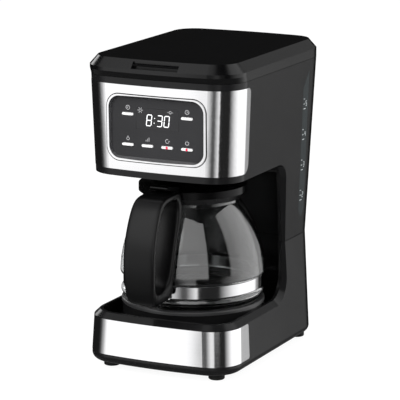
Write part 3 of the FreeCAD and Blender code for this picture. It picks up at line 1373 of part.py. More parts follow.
def handle_outline(inset):
    """Side view of the handle, a broad loop with its back along the jar."""
    strap = JAR_DOME_R + HANDLE_GAP + (HANDLE_STRAP if inset else 0)
    top = HANDLE_TOP_Z - inset
    low = HANDLE_BOTTOM_Z + (HANDLE_FOOT_T if inset else 0)

    def on_strap(z):
        return JAR_R - JAR_DOME_R + math.sqrt(strap ** 2 - (z - SHOULDER_Z) ** 2)

    def strap_arc(z0, z1):
        middle = (z0 + z1) / 2
        ends = [handle_place(on_strap(z), z) for z in (z0, middle, z1)]
        return Part.Arc(*ends)

    high = handle_place(HANDLE_TOP_REACH - inset * HANDLE_TOP_TAPER, top)
    belly = handle_place(HANDLE_REACH - inset, BELLY_Z)
    base = handle_place(HANDLE_LOW_REACH - inset, low)
    bow_z = BELLY_Z + (HANDLE_TOP_Z - BELLY_Z) * HANDLE_BOW_AT
    upper_mid = handle_place(HANDLE_REACH - inset - HANDLE_BOW, bow_z)
    lower_mid = handle_place(HANDLE_REACH - inset - HANDLE_LOW_BOW, (BELLY_Z + low) / 2)
    curves = [Part.Arc(high, upper_mid, belly), Part.Arc(belly, lower_mid, base)]
    if inset == 0:
        crest_z = NECK_Z - HANDLE_SHELF
        join_z = MOUTH_Z - SEAT_GAP
        collar_in = JAR_NECK_R + BAND_CLEAR + COLLAR_T + COLLAR_FLARE + SEAT_GAP
        top_in = max(on_strap(top), CARAFE_LID_R + SLIDE_CLEAR * 2)
        foot = handle_place(HANDLE_FOOT_IN, low)
        knee = handle_place(on_strap(SHOULDER_Z), SHOULDER_Z)
        crest = handle_place(on_strap(crest_z), crest_z)
        shelf = handle_place(collar_in, crest_z)
        heel = handle_place(collar_in, join_z)
        step = handle_place(top_in, join_z)
        corner = handle_place(top_in, top)
        curves += [Part.LineSegment(base, foot), Part.LineSegment(foot, knee), strap_arc(SHOULDER_Z, crest_z)]
        for start, end in ((crest, shelf), (shelf, heel), (heel, step), (step, corner), (corner, high)):
            curves.append(Part.LineSegment(start, end))
    else:
        curves.append(Part.LineSegment(base, handle_place(on_strap(low), low)))
        curves.append(strap_arc(low, top))
        curves.append(Part.LineSegment(handle_place(on_strap(top), top), high))
    return Part.Face(Part.Wire([curve.toShape() for curve in curves]))


def carafe_handle():
    """Broad loop handle, widest at the grip, with rounded edges."""
    half = HANDLE_W / 2
    body = handle_outline(0)
    body.translate(V(-half, 0, 0))
    body = body.extrude(V(HANDLE_W, 0, 0))
    finger = handle_outline(HANDLE_WALL)
    finger.translate(V(-half - CUT, 0, 0))
    body = body.cut(finger.extrude(V(HANDLE_W + CUT * 2, 0, 0)))
    y = AXIS_Y - HANDLE_REACH - CUT
    top_half = HANDLE_TOP_W / 2
    low_half = HANDLE_LOW_W / 2
    top = HANDLE_TOP_Z + CUT
    low = HANDLE_BOTTOM_Z - CUT
    waist = [
        Part.Arc(V(top_half, y, top), V(half, y, WIDEST_Z), V(low_half, y, low)),
        Part.LineSegment(V(low_half, y, low), V(-low_half, y, low)),
        Part.Arc(V(-low_half, y, low), V(-half, y, WIDEST_Z), V(-top_half, y, top)),
        Part.LineSegment(V(-top_half, y, top), V(top_half, y, top)),
    ]
    front_view = Part.Face(Part.Wire([curve.toShape() for curve in waist]))
    body = body.common(front_view.extrude(V(0, HANDLE_REACH, 0)))
    outer = [edge for edge in body.Edges if edge.BoundBox.YMax < AXIS_Y - HANDLE_TOP_REACH + CUT
             and edge.BoundBox.ZMax - edge.BoundBox.ZMin > HANDLE_WALL]
    front = [edge for edge in outer if abs(edge.CenterOfMass.y - AXIS_Y) > HANDLE_TOP_REACH]
    body = body.makeFillet(HANDLE_EDGE_R, longest_outer(front))
    slot = box(-LUG_HALF - SLIDE_CLEAR, LUG_HALF + SLIDE_CLEAR, PIVOT_Y - LUG_R - SLIDE_CLEAR, FAR,
               PIVOT_Z - LUG_R - SLIDE_CLEAR, TOP_Z)
    pin_r = HINGE_PIN_R + PRESS_CLEAR
    pin = Part.makeCylinder(pin_r, HANDLE_W, V(-half, PIVOT_Y, PIVOT_Z), RIGHT)
    return body.cut(slot).cut(pin).cut(band_screw_hole())


def longest_outer(edges):
    """The edges that run along the outer face of the grip on both sides."""
    return [edge for edge in edges if outer_reach(edge) < HANDLE_EDGE_R]


def outer_reach(edge):
    """How far an edge's middle lies inside the grip's outer face."""
    middle = edge.valueAt((edge.FirstParameter + edge.LastParameter) / 2)
    column = Part.makeLine(V(0, AXIS_Y - HANDLE_REACH * 2, middle.z), V(0, AXIS_Y, middle.z))
    face = handle_outline(0)
    hit = column.common(face)
    return abs(middle.y - hit.BoundBox.YMin)


def carafe_lid():
    """Hinged lid with its rim, the plug inside the neck and the thumb lever."""
    rim_top = CARAFE_LID_Z + CARAFE_LID_H
    rim = post(0, AXIS_Y, CARAFE_LID_R, CARAFE_LID_Z, rim_top)
    dome = cone(CARAFE_LID_R - CARAFE_LID_EDGE, CARAFE_BOSS_R, rim_top, CARAFE_TOP_Z)
    plug_r = JAR_NECK_R - JAR_T - SLIDE_CLEAR * 2
    plug_z = CARAFE_LID_Z - JAR_NECK_H / 2
    solid = fuse(rim, dome, post(0, AXIS_Y, plug_r, plug_z, CARAFE_LID_Z))
    inner_r = plug_r - CARAFE_LID_T
    hollow = post(0, AXIS_Y, inner_r, plug_z, rim_top - CARAFE_LID_T)
    hollow = hollow.fuse(cone(inner_r, CARAFE_BOSS_R - CARAFE_LID_T, rim_top - CARAFE_LID_T,
                              CARAFE_TOP_Z - CARAFE_LID_T))
    solid = solid.cut(hollow)
    out = CARAFE_BOSS_R + DRIP_HOLE_OUT
    for i in range(DRIP_HOLES):
        turn = 2 * math.pi * (i + 0.5) / DRIP_HOLES
        x = out * math.cos(turn)
        y = AXIS_Y + out * math.sin(turn)
        solid = solid.cut(post(x, y, DRIP_HOLE_R, rim_top, CARAFE_TOP_Z))
    lug = Part.makeCylinder(LUG_R, LUG_HALF * 2, V(-LUG_HALF, PIVOT_Y, PIVOT_Z), RIGHT)
    web = box(-LUG_HALF, LUG_HALF, PIVOT_Y, AXIS_Y - CARAFE_LID_R + LUG_WEB, PIVOT_Z - LUG_R, rim_top)
    tip = PIVOT_Y - THUMB_REACH
    root = PIVOT_Y + THUMB_ROOT
    thumb = side_prism([
        (tip, HANDLE_TOP_Z + THUMB_LOW, THUMB_LOW_R),
        (tip, HANDLE_TOP_Z + THUMB_HIGH, THUMB_HIGH_R),
        (root, CARAFE_TOP_Z - THUMB_ROOT_DROP, 0),
        (root, rim_top - CUT, 0),
        (PIVOT_Y, PIVOT_Z, 0),
        (PIVOT_Y - LUG_R, HANDLE_TOP_Z + THUMB_HEEL, 0),
    ], -LUG_HALF, LUG_HALF)
    solid = fuse(solid, lug, web, thumb)
    pin = Part.makeCylinder(HINGE_PIN_R + RUN_CLEAR, HANDLE_W, V(-HANDLE_W / 2, PIVOT_Y, PIVOT_Z), RIGHT)
    return solid.cut(pin)


def carafe_pin():
    length = HANDLE_TOP_W - LID_PIN_IN * 2
    return Part.makeCylinder(HINGE_PIN_R, length, V(-length / 2, PIVOT_Y, PIVOT_Z), RIGHT)


def band_screw():
    """Screw through the band's clasp into the handle's foot."""
    end = V(0, AXIS_Y - BAND_SCREW_IN - BAND_SCREW_L, SCREW_LINE_Z)
    return Part.makeCylinder(SCREW_R, BAND_SCREW_L, end, BACK)


def drip_valve():
    """Plunger of the drip stop: a disc over the throat, a stem and a foot on the carafe's lid."""
    disc_z = BASKET_FLOOR_Z + BASKET_T + SEAT_GAP + SEAL_T + VALVE_LIFT
    disc = post(0, AXIS_Y, VALVE_R, disc_z, disc_z + VALVE_T)
    stem = post(0, AXIS_Y, VALVE_STEM_R, VALVE_FOOT_Z, disc_z)
    foot = post(0, AXIS_Y, VALVE_FOOT_R, VALVE_FOOT_Z, VALVE_FOOT_Z + VALVE_T)
    return fuse(disc, stem, foot)


def drip_seal():
    disc_z = BASKET_FLOOR_Z + BASKET_T + SEAT_GAP + VALVE_LIFT
    return ring(0, AXIS_Y, VALVE_R + SEAL_LIP, VALVE_STEM_R + PRESS_CLEAR, disc_z, disc_z + SEAL_T)


def drip_spring():
    """Coil spring round the stem, between the basket's guide and the plunger's foot."""
    z0 = VALVE_FOOT_Z + VALVE_T + SPRING_WIRE_R + TOUCH_GAP
    z1 = GUIDE_Z - SPRING_WIRE_R - TOUCH_GAP
    steps = SPRING_TURNS * SPRING_STEPS
    rise = (z1 - z0) / steps
    points = []
    for i in range(steps + 1):
        turn = 2 * math.pi * i / SPRING_STEPS
        points.append(V(SPRING_R * math.cos(turn), AXIS_Y + SPRING_R * math.sin(turn), z0 + rise * i))
    edges = [Part.Arc(points[i], points[i + 1], points[i + 2]).toShape() for i in range(0, steps, 2)]
    print("drip spring least gap between turns", round(rise * SPRING_STEPS - 2 * SPRING_WIRE_R, 2), "mm")
    return rod(Part.Wire(edges), SPRING_WIRE_R)


def tank_wire(inset, z):
    half, front, back = upper_section(z)
    gap = WALL + TANK_CLEAR + inset
    y0 = BAY_BACK + gap
    front_r = TANK_FRONT_R + TANK_T - inset
    return plan_wire(half - gap, y0, back - gap, front_r, CORNER_R - gap, z, FAR * FAR, BOW_R - gap)


def water_tank():
    """Open tank that fills the column up to the deck's ledge, notched for the riser and the wiring."""
    top = TOP_DECK_Z - TOP_DECK_T - SEAT_GAP * 2 - WALL
    outer = Part.makeLoft([tank_wire(0, TANK_Z), tank_wire(0, top)], True, True)
    floor = TANK_Z + TANK_FLOOR
    inner = Part.makeLoft([tank_wire(TANK_T, floor), tank_wire(TANK_T, top)], True, True)
    room = TUBE_R + TUBE_ROOM
    outer = outer.cut(riser_corner(room, TANK_Z - CUT, top + CUT))
    inner = inner.cut(riser_corner(room + TANK_T, TANK_Z - CUT, top + CUT))
    tank = outer.cut(inner)
    nipple = post(OUTLET_X, OUTLET_Y, NIPPLE_R, TANK_Z - NIPPLE_L, TANK_Z + CUT)
    tank = fuse(tank, nipple)
    return tank.cut(post(OUTLET_X, OUTLET_Y, NIPPLE_BORE, TANK_Z - NIPPLE_L, floor + CUT))


def riser_corner(room, z0, z1):
    """The left front corner of the tank, given up to the riser and the wiring beside it."""
    side = box(-FAR, -TUBE_X, 0, TUBE_Y + room, z0, z1)
    front = box(-TUBE_X - room, -TUBE_X + room, 0, TUBE_Y, z0, z1)
    return fuse(post(-TUBE_X, TUBE_Y, room, z0, z1), side, front)


def check_valve():
    """Non-return valve under the tank: a socket, a ball chamber and a hose nipple."""
    top = VALVE_BODY_Z + VALVE_BODY_H
    body = post(OUTLET_X, OUTLET_Y, VALVE_BODY_R, VALVE_BODY_Z, top)
    body = body.fuse(post(OUTLET_X, OUTLET_Y, NIPPLE_R, VALVE_BODY_Z - NIPPLE_L, VALVE_BODY_Z))
    body = body.cut(post(OUTLET_X, OUTLET_Y, NIPPLE_R + HOSE_CLEAR, TANK_Z - NIPPLE_L - SEAT_GAP, top))
    chamber_top = BALL_FLOOR_Z + ball_sit() + BALL_TRAVEL + SLIDE_CLEAR + ball_sit()
    body = body.cut(post(OUTLET_X, OUTLET_Y, BALL_R + BALL_ROOM, BALL_FLOOR_Z, chamber_top))
    body = body.cut(post(OUTLET_X, OUTLET_Y, NIPPLE_BORE, VALVE_BODY_Z - NIPPLE_L, top))
    reach = BALL_R + BYPASS_HALF
    slot = box(OUTLET_X - reach, OUTLET_X + reach, OUTLET_Y - BYPASS_HALF, OUTLET_Y + BYPASS_HALF,
               VALVE_BODY_Z + BYPASS_RISE, BALL_FLOOR_Z + TOUCH_GAP)
    return body.cut(slot)


def ball_sit():
    """Height of the ball's centre over the edge of a bore that it rests on."""
    return math.sqrt(BALL_R ** 2 - NIPPLE_BORE ** 2)


def check_ball():
    return Part.makeSphere(BALL_R, V(OUTLET_X, OUTLET_Y, BALL_FLOOR_Z + ball_sit() + SLIDE_CLEAR / 2))


def heater_angle():
    return math.radians(90 - HEATER_GAP_DEG)


def heater_nipple(side):
    """Where a leg of the heater's water tube stands, right or left of the middle."""
    turn = heater_angle()
    end = V(HEATER_R * math.cos(turn), AXIS_Y + HEATER_R * math.sin(turn), 0)
    along = V(-math.sin(turn), math.cos(turn), 0)
    leg = end + along * HEATER_BEND
    return V(side * leg.x, leg.y, HEATER_Z - HEATER_BEND)


def c_arcs(radius, z):
    """Arcs of a ring that is open at the back, from its right end round the front."""
    turn = heater_angle()
    sweep = 2 * math.pi - (math.pi - 2 * turn)
    count = 4
    points = []
    for i in range(count * 2 + 1):
        a = turn - sweep * i / (count * 2)
        points.append(V(radius * math.cos(a), AXIS_Y + radius * math.sin(a), z))
    return [Part.Arc(points[2 * i], points[2 * i + 1], points[2 * i + 2]).toShape() for i in range(count)]


def heater_tube():
    """Aluminium water tube bent to an open ring, with both legs turned down."""
    turn = heater_angle()
    legs = []
    for side in (1, -1):
        end = V(side * HEATER_R * math.cos(turn), AXIS_Y + HEATER_R * math.sin(turn), HEATER_Z)
        leg = heater_nipple(side)
        centre = V(end.x, end.y, HEATER_Z - HEATER_BEND)
        out = (leg - centre).normalize()
        middle = centre + (out + UP).normalize() * HEATER_BEND
        foot = V(leg.x, leg.y, HOSE_TOP_Z - HEATER_LEG)
        legs.append([Part.LineSegment(foot, leg).toShape(), Part.Arc(leg, middle, end).toShape()])
    path = Part.Wire(legs[0] + c_arcs(HEATER_R, HEATER_Z) + legs[1][::-1])
    return pipe(path, HEATER_TUBE_R, NIPPLE_BORE)


def heating_element():
    """Sheathed element beside the water tube, with its two cold pins."""
    radius = HEATER_R + HEATER_TUBE_R + ELEMENT_R + TOUCH_GAP
    element = rod(Part.Wire(c_arcs(radius, HEATER_Z)), ELEMENT_R)
    turn = heater_angle()
    pins = []
    for side in (1, -1):
        end = V(side * radius * math.cos(turn), AXIS_Y + radius * math.sin(turn), HEATER_Z)
        along = V(-side * math.sin(turn), math.cos(turn), 0)
        pins.append(Part.makeCylinder(PIN_R, PIN_L, end - along, along))
    return fuse(element, *pins)


def heater_clamp():
    """Cross bar that presses the heater against the hot plate."""
    z1 = HEATER_Z - HEATER_TUBE_R - SEAT_GAP
    y0 = AXIS_Y - CLAMP_HALF
    y1 = AXIS_Y + CLAMP_HALF
    reach = math.sqrt((BOSS_OUTER_R - BOSS_T - SEAT_GAP) ** 2 - CLAMP_HALF ** 2)
    bar = box(-reach, reach, y0, y1, z1 - WALL, z1)
    left = box(-reach, CLAMP_TAB_T - reach, y0, y1, z1 - CLAMP_TAB_H, z1)
    right = box(reach - CLAMP_TAB_T, reach, y0, y1, z1 - CLAMP_TAB_H, z1)
    return fuse(bar, left, right)


def thermostat():
    z1 = HEATER_Z - HEATER_TUBE_R - SEAT_GAP
    z0 = z1 - STAT_H
    y = AXIS_Y - HEATER_R
    can = post(0, y, STAT_R, z0, z1)
    ears = box(-STAT_EAR_HALF_L, STAT_EAR_HALF_L, y - STAT_EAR_HALF_W, y + STAT_EAR_HALF_W,
               z1 - STAT_EAR_T, z1)
    blades = []
    for x in (-STAT_BLADE_X, STAT_BLADE_X):
        blades.append(box(x - STAT_BLADE_HALF_W, x + STAT_BLADE_HALF_W,
                          y - STAT_BLADE_HALF_T, y + STAT_BLADE_HALF_T, z0 - STAT_BLADE_L, z0))
    return fuse(can, ears, *blades)


def heat_cutouts():
    """Thermostat and two sleeved fuses, laid along the underside of the water tube."""
    z = HEATER_Z - HEATER_TUBE_R - SEAT_GAP - FUSE_R
    cutouts = [thermostat()]
    for side in (-1, 1):
        turn = math.radians(side * FUSE_SPREAD - 90)
        at = V(HEATER_R * math.cos(turn), AXIS_Y + HEATER_R * math.sin(turn), z)
        along = V(-math.sin(turn), math.cos(turn), 0)
        cutouts.append(Part.makeCylinder(FUSE_R, FUSE_L, at - along * (FUSE_L / 2), along))
    return Part.makeCompound(cutouts)


def warming_plate():
    """Coated steel disc with a rolled edge."""
    disc = post(0, AXIS_Y, PLATE_R, PLATE_TOP_Z - PLATE_T, PLATE_TOP_Z)
    dish = post(0, AXIS_Y, PLATE_R - PLATE_RIM, PLATE_TOP_Z - PLATE_DISH, PLATE_TOP_Z)
    top = [edge for edge in disc.Edges if edge.Closed and abs(edge.BoundBox.ZMin - PLATE_TOP_Z) < 1e-6]
    return disc.makeFillet(PLATE_T / 2, top).cut(dish)


def plate_gasket():
    """Ring between the boss and the hot plate, with a lip under the plate's edge."""
    outer = PLATE_R + GASKET_W
    inner = PLATE_R + SEAT_GAP
    top = GASKET_Z + GASKET_H
    body = ring(0, AXIS_Y, outer, inner, GASKET_Z, top)
    edge = [e for e in body.Edges if e.Closed and abs(e.BoundBox.ZMin - top) < 1e-6
            and e.BoundBox.XMax > outer - TOUCH_GAP]
    body = body.makeFillet(GASKET_EDGE_R, edge)
    lip_top = PLATE_TOP_Z - PLATE_T - TOUCH_GAP
    return fuse(body, ring(0, AXIS_Y, inner, PLATE_R - GASKET_LIP, GASKET_Z, lip_top))


def hose_run(start, end):
    """A hose path that drops from start, runs level and rises to end."""
    low_a = V(start.x, start.y, HOSE_Z)
    low_b = V(end.x, end.y, HOSE_Z)
    return rounded_path([start, low_a, low_b, end], HOSE_BEND)


def inlet_hose():
    top = V(OUTLET_X, OUTLET_Y, VALVE_BODY_Z - SEAT_GAP)
    leg = heater_nipple(1)
    return pipe(hose_run(top, V(leg.x, leg.y, HOSE_TOP_Z)), HOSE_R, HEATER_TUBE_R + HOSE_CLEAR)


def outlet_hose():
    top = V(-TUBE_X, TUBE_Y, WAIST_Z - HOSE_TOP_DROP)
    leg = heater_nipple(-1)
    return pipe(hose_run(top, V(leg.x, leg.y, HOSE_TOP_Z)), HOSE_R, HEATER_TUBE_R + HOSE_CLEAR)


def riser_tube():
    top = LID_Z + LINER_RISE - SEAT_GAP - SPRAY_H - SLIDE_CLEAR * 2
    return ring(-TUBE_X, TUBE_Y, TUBE_R, TUBE_BORE, RISER_LOW_Z, top)


def hose_clamps():
    """Spring bands on the four hose ends."""
    ends = [(OUTLET_X, OUTLET_Y, VALVE_BODY_Z - CLIP_DROP)]
    ends.append((-TUBE_X, TUBE_Y, WAIST_Z - HOSE_TOP_DROP - CLIP_DROP))
    for side in (-1, 1):
        leg = heater_nipple(side)
        ends.append((leg.x, leg.y, HOSE_TOP_Z - HEATER_LEG / 2))
    bands = []
    for x, y, z in ends:
        bands.append(ring(x, y, HOSE_R + CLIP_T, HOSE_R + RUN_CLEAR, z - CLIP_HALF, z + CLIP_HALF))
    return Part.makeCompound(bands)


def on_power_board(at, size):
    """A block of a given size on the power board, placed from the board's middle."""
    width, depth, height = size
    x = POWER_X + at[0]
    y = POWER_Y + at[1]
    z = POWER_Z + BOARD_T
    return box(x - width / 2, x + width / 2, y - depth / 2, y + depth / 2, z, z + height)


def power_board():
    z = POWER_Z + BOARD_T
    board = box(POWER_X - POWER_W / 2, POWER_X + POWER_W / 2, POWER_Y - POWER_D / 2, POWER_Y + POWER_D / 2,
                POWER_Z, z)
    capacitor = post(POWER_X + CAPACITOR_AT[0], POWER_Y + CAPACITOR_AT[1], CAPACITOR_R, z, z + CAPACITOR_H)
    return fuse(board, on_power_board(RELAY_AT, RELAY_SIZE), on_power_board(COIL_AT, COIL_SIZE), capacitor)


def wire_loom():
    """Leads from the power board up the column and round the well to the control board."""
    x = LOOM_R + LOOM_SIDE_GAP + WALL - WAIST_HALF_WIDTH
    y = BAY_BACK + WALL + LOOM_BACK_GAP + LOOM_R
    z = PANEL_Z + PLUG_RISE
    start = V(POWER_X + LOOM_AT[0], POWER_Y + LOOM_AT[1], POWER_Z + BOARD_T + TOUCH_GAP)
    front = BOARD_BACK + LOOM_STAND
    points = [start, V(start.x, start.y, LOOM_Z), V(start.x, y, LOOM_Z), V(x, y, LOOM_Z), V(x, y, z),
              V(x, front, z), V(PLUG_X, front, z), V(PLUG_X, BOARD_BACK + PLUG_T + TOUCH_GAP, z)]
    return rod(rounded_path(points, LOOM_BEND), LOOM_R)


def cord_gland():
    """Bushing in the back of the base for the mains lead, with its grip inside the wall."""
    back = lower_section(GLAND_Z)[2]
    inner_end = V(GLAND_X, back - GLAND_L, GLAND_Z)
    body = Part.makeCylinder(GLAND_R, GLAND_L + GLAND_STAND, inner_end, BACK)
    flange_at = V(GLAND_X, back + GLAND_STAND, GLAND_Z)
    flange = Part.makeCylinder(GLAND_R + GLAND_FLANGE, GLAND_FLANGE_T, flange_at, BACK)
    gland = fuse(body, flange)
    mouth = Part.makeCylinder(GLAND_BORE + GLAND_FLARE, FAR, inner_end + BACK * GLAND_GRIP, BACK)
    return gland.cut(Part.makeCylinder(GLAND_BORE, FAR, inner_end, BACK)).cut(mouth)


def tank_screen():
    """Strainer over the tank's outlet."""
    z = TANK_Z + TANK_FLOOR + TOUCH_GAP
    top = z + SCREEN_H
    cup = ring(OUTLET_X, OUTLET_Y, SCREEN_R, SCREEN_R - SCREEN_T, z, top)
    cup = cup.fuse(post(OUTLET_X, OUTLET_Y, SCREEN_R, top, top + SCREEN_T))
    for i in range(SCREEN_SLOTS):
        slot = box(SCREEN_R / 2, SCREEN_R * 2, -SCREEN_SLOT_HALF, SCREEN_SLOT_HALF,
                   z + SCREEN_SLOT_LOW, z + SCREEN_SLOT_HIGH)
        slot.rotate(V(0, 0, 0), UP, 360 / SCREEN_SLOTS * i)
        slot.translate(V(OUTLET_X, OUTLET_Y, 0))
        cup = cup.cut(slot)
    return cup


def build():
    parts["base_shell"] = base_shell()
    parts["upper_shell"] = upper_shell()
    parts["bottom_cover"] = bottom_cover()
    parts["feet"] = feet()
    parts["case_screws"] = case_screws()
    parts["head_trim"] = head_band(TRIM_PROUD, TRIM_T - TRIM_PROUD, 0).cut(panel_window(TRIM_CLEAR))
    parts["base_trim"] = base_band(TRIM_PROUD, TRIM_T - TRIM_PROUD, 0)
    parts["lid_shell"] = lid_shell()
    parts["lid_grip"] = grip_bar()
    parts["lid_liner"] = lid_liner()
    parts["spray_head"] = spray_head()
    parts["lid_hinge_pins"] = lid_pins()
    parts["brew_chamber"] = brew_chamber()
    parts["panel_bezel"] = bezel()
    parts["control_panel"] = control_panel()
    parts["display_lens"] = display_lens()
    parts["lcd_module"] = lcd_module()
    parts["control_board"] = control_board()
    parts["board_screws"] = board_screws()
    for name in key_places():
        parts["button_" + name] = key(name)
    for name in ("program", "power"):
        parts["lamp_" + name] = lamp(name)
    parts["brew_basket"] = brew_basket()
    parts["basket_bail"] = basket_bail()
    parts["filter_frame"] = filter_frame()
    parts["filter_mesh"] = filter_mesh()
    parts["drip_valve"] = drip_valve()
    parts["drip_seal"] = drip_seal()
    parts["drip_spring"] = drip_spring()
    parts["water_tank"] = water_tank()
    parts["tank_screen"] = tank_screen()
    parts["water_gauge"] = gauge()
    parts["check_valve"] = check_valve()
    parts["check_ball"] = check_ball()
    parts["inlet_hose"] = inlet_hose()
    parts["outlet_hose"] = outlet_hose()
    parts["riser_tube"] = riser_tube()
    parts["hose_clamps"] = hose_clamps()
    parts["heater_tube"] = heater_tube()
    parts["heating_element"] = heating_element()
    parts["heater_clamp"] = heater_clamp()
    parts["heat_cutouts"] = heat_cutouts()
    parts["warming_plate"] = warming_plate()
    parts["plate_gasket"] = plate_gasket()
    parts["power_board"] = power_board()
    parts["wire_loom"] = wire_loom()
    parts["cord_gland"] = cord_gland()
    parts["carafe_jar"] = carafe_jar()
    parts["carafe_band"] = carafe_band()
    parts["carafe_collar"] = carafe_collar()
    parts["carafe_handle"] = carafe_handle()
    parts["carafe_lid"] = carafe_lid()
    parts["carafe_lid_pin"] = carafe_pin()
    parts["band_screw"] = band_screw()


build()
os.makedirs("parts", exist_ok=True)
for name, shape in parts.items():
    placed = shape.copy()
    placed.translate(V(0, MID_Y, 0))
    placed.exportStep("parts/" + name + ".step")
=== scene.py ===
"""Looks of a drip coffee maker.

Finishes for its pieces, marks on its panel and water window, and a pale studio stage.
"""

import math

import bmesh
import bpy
from bpy.props import FloatProperty, FloatVectorProperty, IntProperty, PointerProperty, StringProperty
from bpy.types import Operator, Panel, PropertyGroup
from mathutils import Matrix, Vector
from mathutils.bvhtree import BVHTree


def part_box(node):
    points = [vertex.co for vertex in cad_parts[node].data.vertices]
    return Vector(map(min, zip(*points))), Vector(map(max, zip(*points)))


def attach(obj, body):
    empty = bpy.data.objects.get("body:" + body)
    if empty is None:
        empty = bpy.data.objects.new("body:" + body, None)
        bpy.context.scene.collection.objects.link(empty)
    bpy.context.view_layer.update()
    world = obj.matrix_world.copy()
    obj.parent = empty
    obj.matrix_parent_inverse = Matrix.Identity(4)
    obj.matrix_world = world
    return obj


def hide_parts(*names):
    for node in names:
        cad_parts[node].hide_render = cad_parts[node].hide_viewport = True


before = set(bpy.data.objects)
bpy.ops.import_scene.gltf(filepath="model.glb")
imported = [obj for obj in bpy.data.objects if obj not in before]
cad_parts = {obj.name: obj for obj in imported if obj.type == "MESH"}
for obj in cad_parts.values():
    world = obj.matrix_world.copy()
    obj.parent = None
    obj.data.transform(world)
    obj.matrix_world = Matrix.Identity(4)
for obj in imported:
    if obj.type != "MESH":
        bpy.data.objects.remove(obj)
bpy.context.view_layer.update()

bl_info = {
    "name": "Drip Coffee Maker Looks",
    "version": (1, 0, 0),
    "blender": (4, 5, 0),
    "location": "View3D > Sidebar > Coffee Maker",
    "description": "Dresses a packed drip coffee maker with finishes, marks and a studio stage",
    "category": "Object",
}

MM = 0.001
KEYS = ("hour", "minute", "clean", "strength", "program", "power")
LIT_KEYS = ("program", "power")


def middle(low, high, axis):
    return (low[axis] + high[axis]) / 2


PANEL_LOW, PANEL_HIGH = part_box("control_panel")
PANEL_MID_X = middle(PANEL_LOW, PANEL_HIGH, 0)
PANEL_MID_Z = middle(PANEL_LOW, PANEL_HIGH, 2)
PANEL_FRONT = PANEL_LOW[1]
GAUGE_LOW, GAUGE_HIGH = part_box("water_gauge")
JAR_Y = middle(*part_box("carafe_jar"), 1)


def colour_of(name, description, default):
    """A colour that the maker can set."""
    return FloatVectorProperty(
        name=name, description=description, subtype="COLOR", size=3, min=0, max=1, default=default)


def length_of(name, description, default):
    """A length that the maker can set, with its default in metres."""
    return FloatProperty(name=name, description=description, unit="LENGTH", default=default)


def angle_of(name, description, degrees):
    """An angle that the maker can set, with its default in degrees."""
    return FloatProperty(
        name=name, description=description, subtype="ANGLE", default=math.radians(degrees))


class CoffeeFinish(PropertyGroup):
    """Colours of the pieces and the glass's index."""

    plastic: colour_of("Case Plastic", "Colour of the moulded black case", (0.009, 0.009, 0.0094))
    lid: colour_of("Lid Plastic", "Colour of the black lid", (0.0024, 0.0024, 0.0026))
    steel: colour_of("Stainless", "Colour of the stainless bands", (0.86, 0.86, 0.87))
    panel: colour_of("Panel", "Colour of the sunken control panel", (0.03, 0.03, 0.032))
    key: colour_of("Keys", "Colour of the bar keys", (0.86, 0.86, 0.86))
    lamp: colour_of("Lamps", "Colour of the small lamps in two keys", (0.75, 0.02, 0.06))
    mark: colour_of("Marks", "Colour of the printed symbols", (0.42, 0.42, 0.43))
    digit: colour_of("Digits", "Colour of the lit display digits", (0.92, 0.94, 0.95))
    window: colour_of("Water Window", "Tint of the water window", (0.014, 0.021, 0.023))
    glass_ior: FloatProperty(
        name="Glass Index", description="Refractive index of the jar", min=1.3, max=2.2, default=1.85)


class CoffeeMarks(PropertyGroup):
    """Sizes of the display digits and printed marks."""

    reading: StringProperty(name="Reading", description="What the clock shows", default="8:30")
    digit_height: length_of("Digit Height", "Height of a display digit", 10.0 * MM)
    digit_width: length_of("Digit Width", "Width of a display digit", 5.2 * MM)
    digit_stroke: length_of("Digit Stroke", "Width of a lit segment", 0.8 * MM)
    digit_rise: length_of("Digit Rise", "Height of the reading over the panel's middle", 7.2 * MM)
    digit_slant: angle_of("Digit Slant", "Lean of the display digits", 6)
    symbol_height: length_of("Symbol Height", "Height of a key's symbol", 3.8 * MM)
    symbol_rise: length_of("Symbol Rise", "Height of a symbol over its key", 5.4 * MM)
    symbol_stroke: length_of("Symbol Stroke", "Line width of a symbol", 0.5 * MM)
    lamp_radius: length_of("Lamp Radius", "Radius of the red light on a key", 1.1 * MM)
    film: length_of("Print Thickness", "Thickness of printed marks", 0.06 * MM)
    # Width of a dark line painted round the bezel as the shadow in its gap
    shadow_line_width: length_of("Shadow Line Width", "Width of the painted shadow line round the bezel", 0.7 * MM)
    gauge_count: IntProperty(
        name="Gauge Marks", description="Numbered marks on the water window", min=1, max=8, default=4)
    gauge_first: length_of("First Mark", "Height of the lowest gauge mark", 134 * MM)
    gauge_step: length_of("Mark Step", "Height between gauge marks", 27.3 * MM)


class CoffeeStage(PropertyGroup):
    """Camera, light and floor."""

    azimuth: angle_of("Azimuth", "Camera's turn to the right of the front", 25.9)
    elevation: angle_of("Elevation", "Camera's height angle", 12.46)
    distance: length_of("Distance", "Camera's distance from its target", 2.1166)
    lens: FloatProperty(
        name="Lens", description="Focal length in millimetres on a 36 mm sensor", default=217.9)
    target: length_of("Target Height", "Height the camera looks at", 127.4 * MM)
    slide: length_of("Slide", "Sideways shift of the camera's target", -4.68 * MM)
    lift: length_of("Lift", "Upward shift of the camera's target", 6.24 * MM)
    floor: colour_of("Floor", "Colour of the floor", (0.9, 0.9, 0.9))
    ambient: FloatProperty(
        name="Ambient", description="Strength of the soft light from all round",
        min=0, max=2, default=0.45)
    panels: FloatProperty(
        name="Panels", description="Brightness of the studio's panels in reflections",
        min=0, max=3, default=1.4)
    glow: FloatProperty(
        name="Floor Glow", description="How white the floor is to the camera",
        min=0, max=2, default=1.12)


def wear(node_names, material):
    """Gives CAD nodes a finish through their material slots."""
    for name in node_names:
        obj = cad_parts[name]
        if not obj.material_slots:
            obj.data.materials.append(None)
        for slot in obj.material_slots:
            slot.material = material


# The part of a noise's range that carries its changes
NOISE_LOW = 0.3
NOISE_HIGH = 0.7
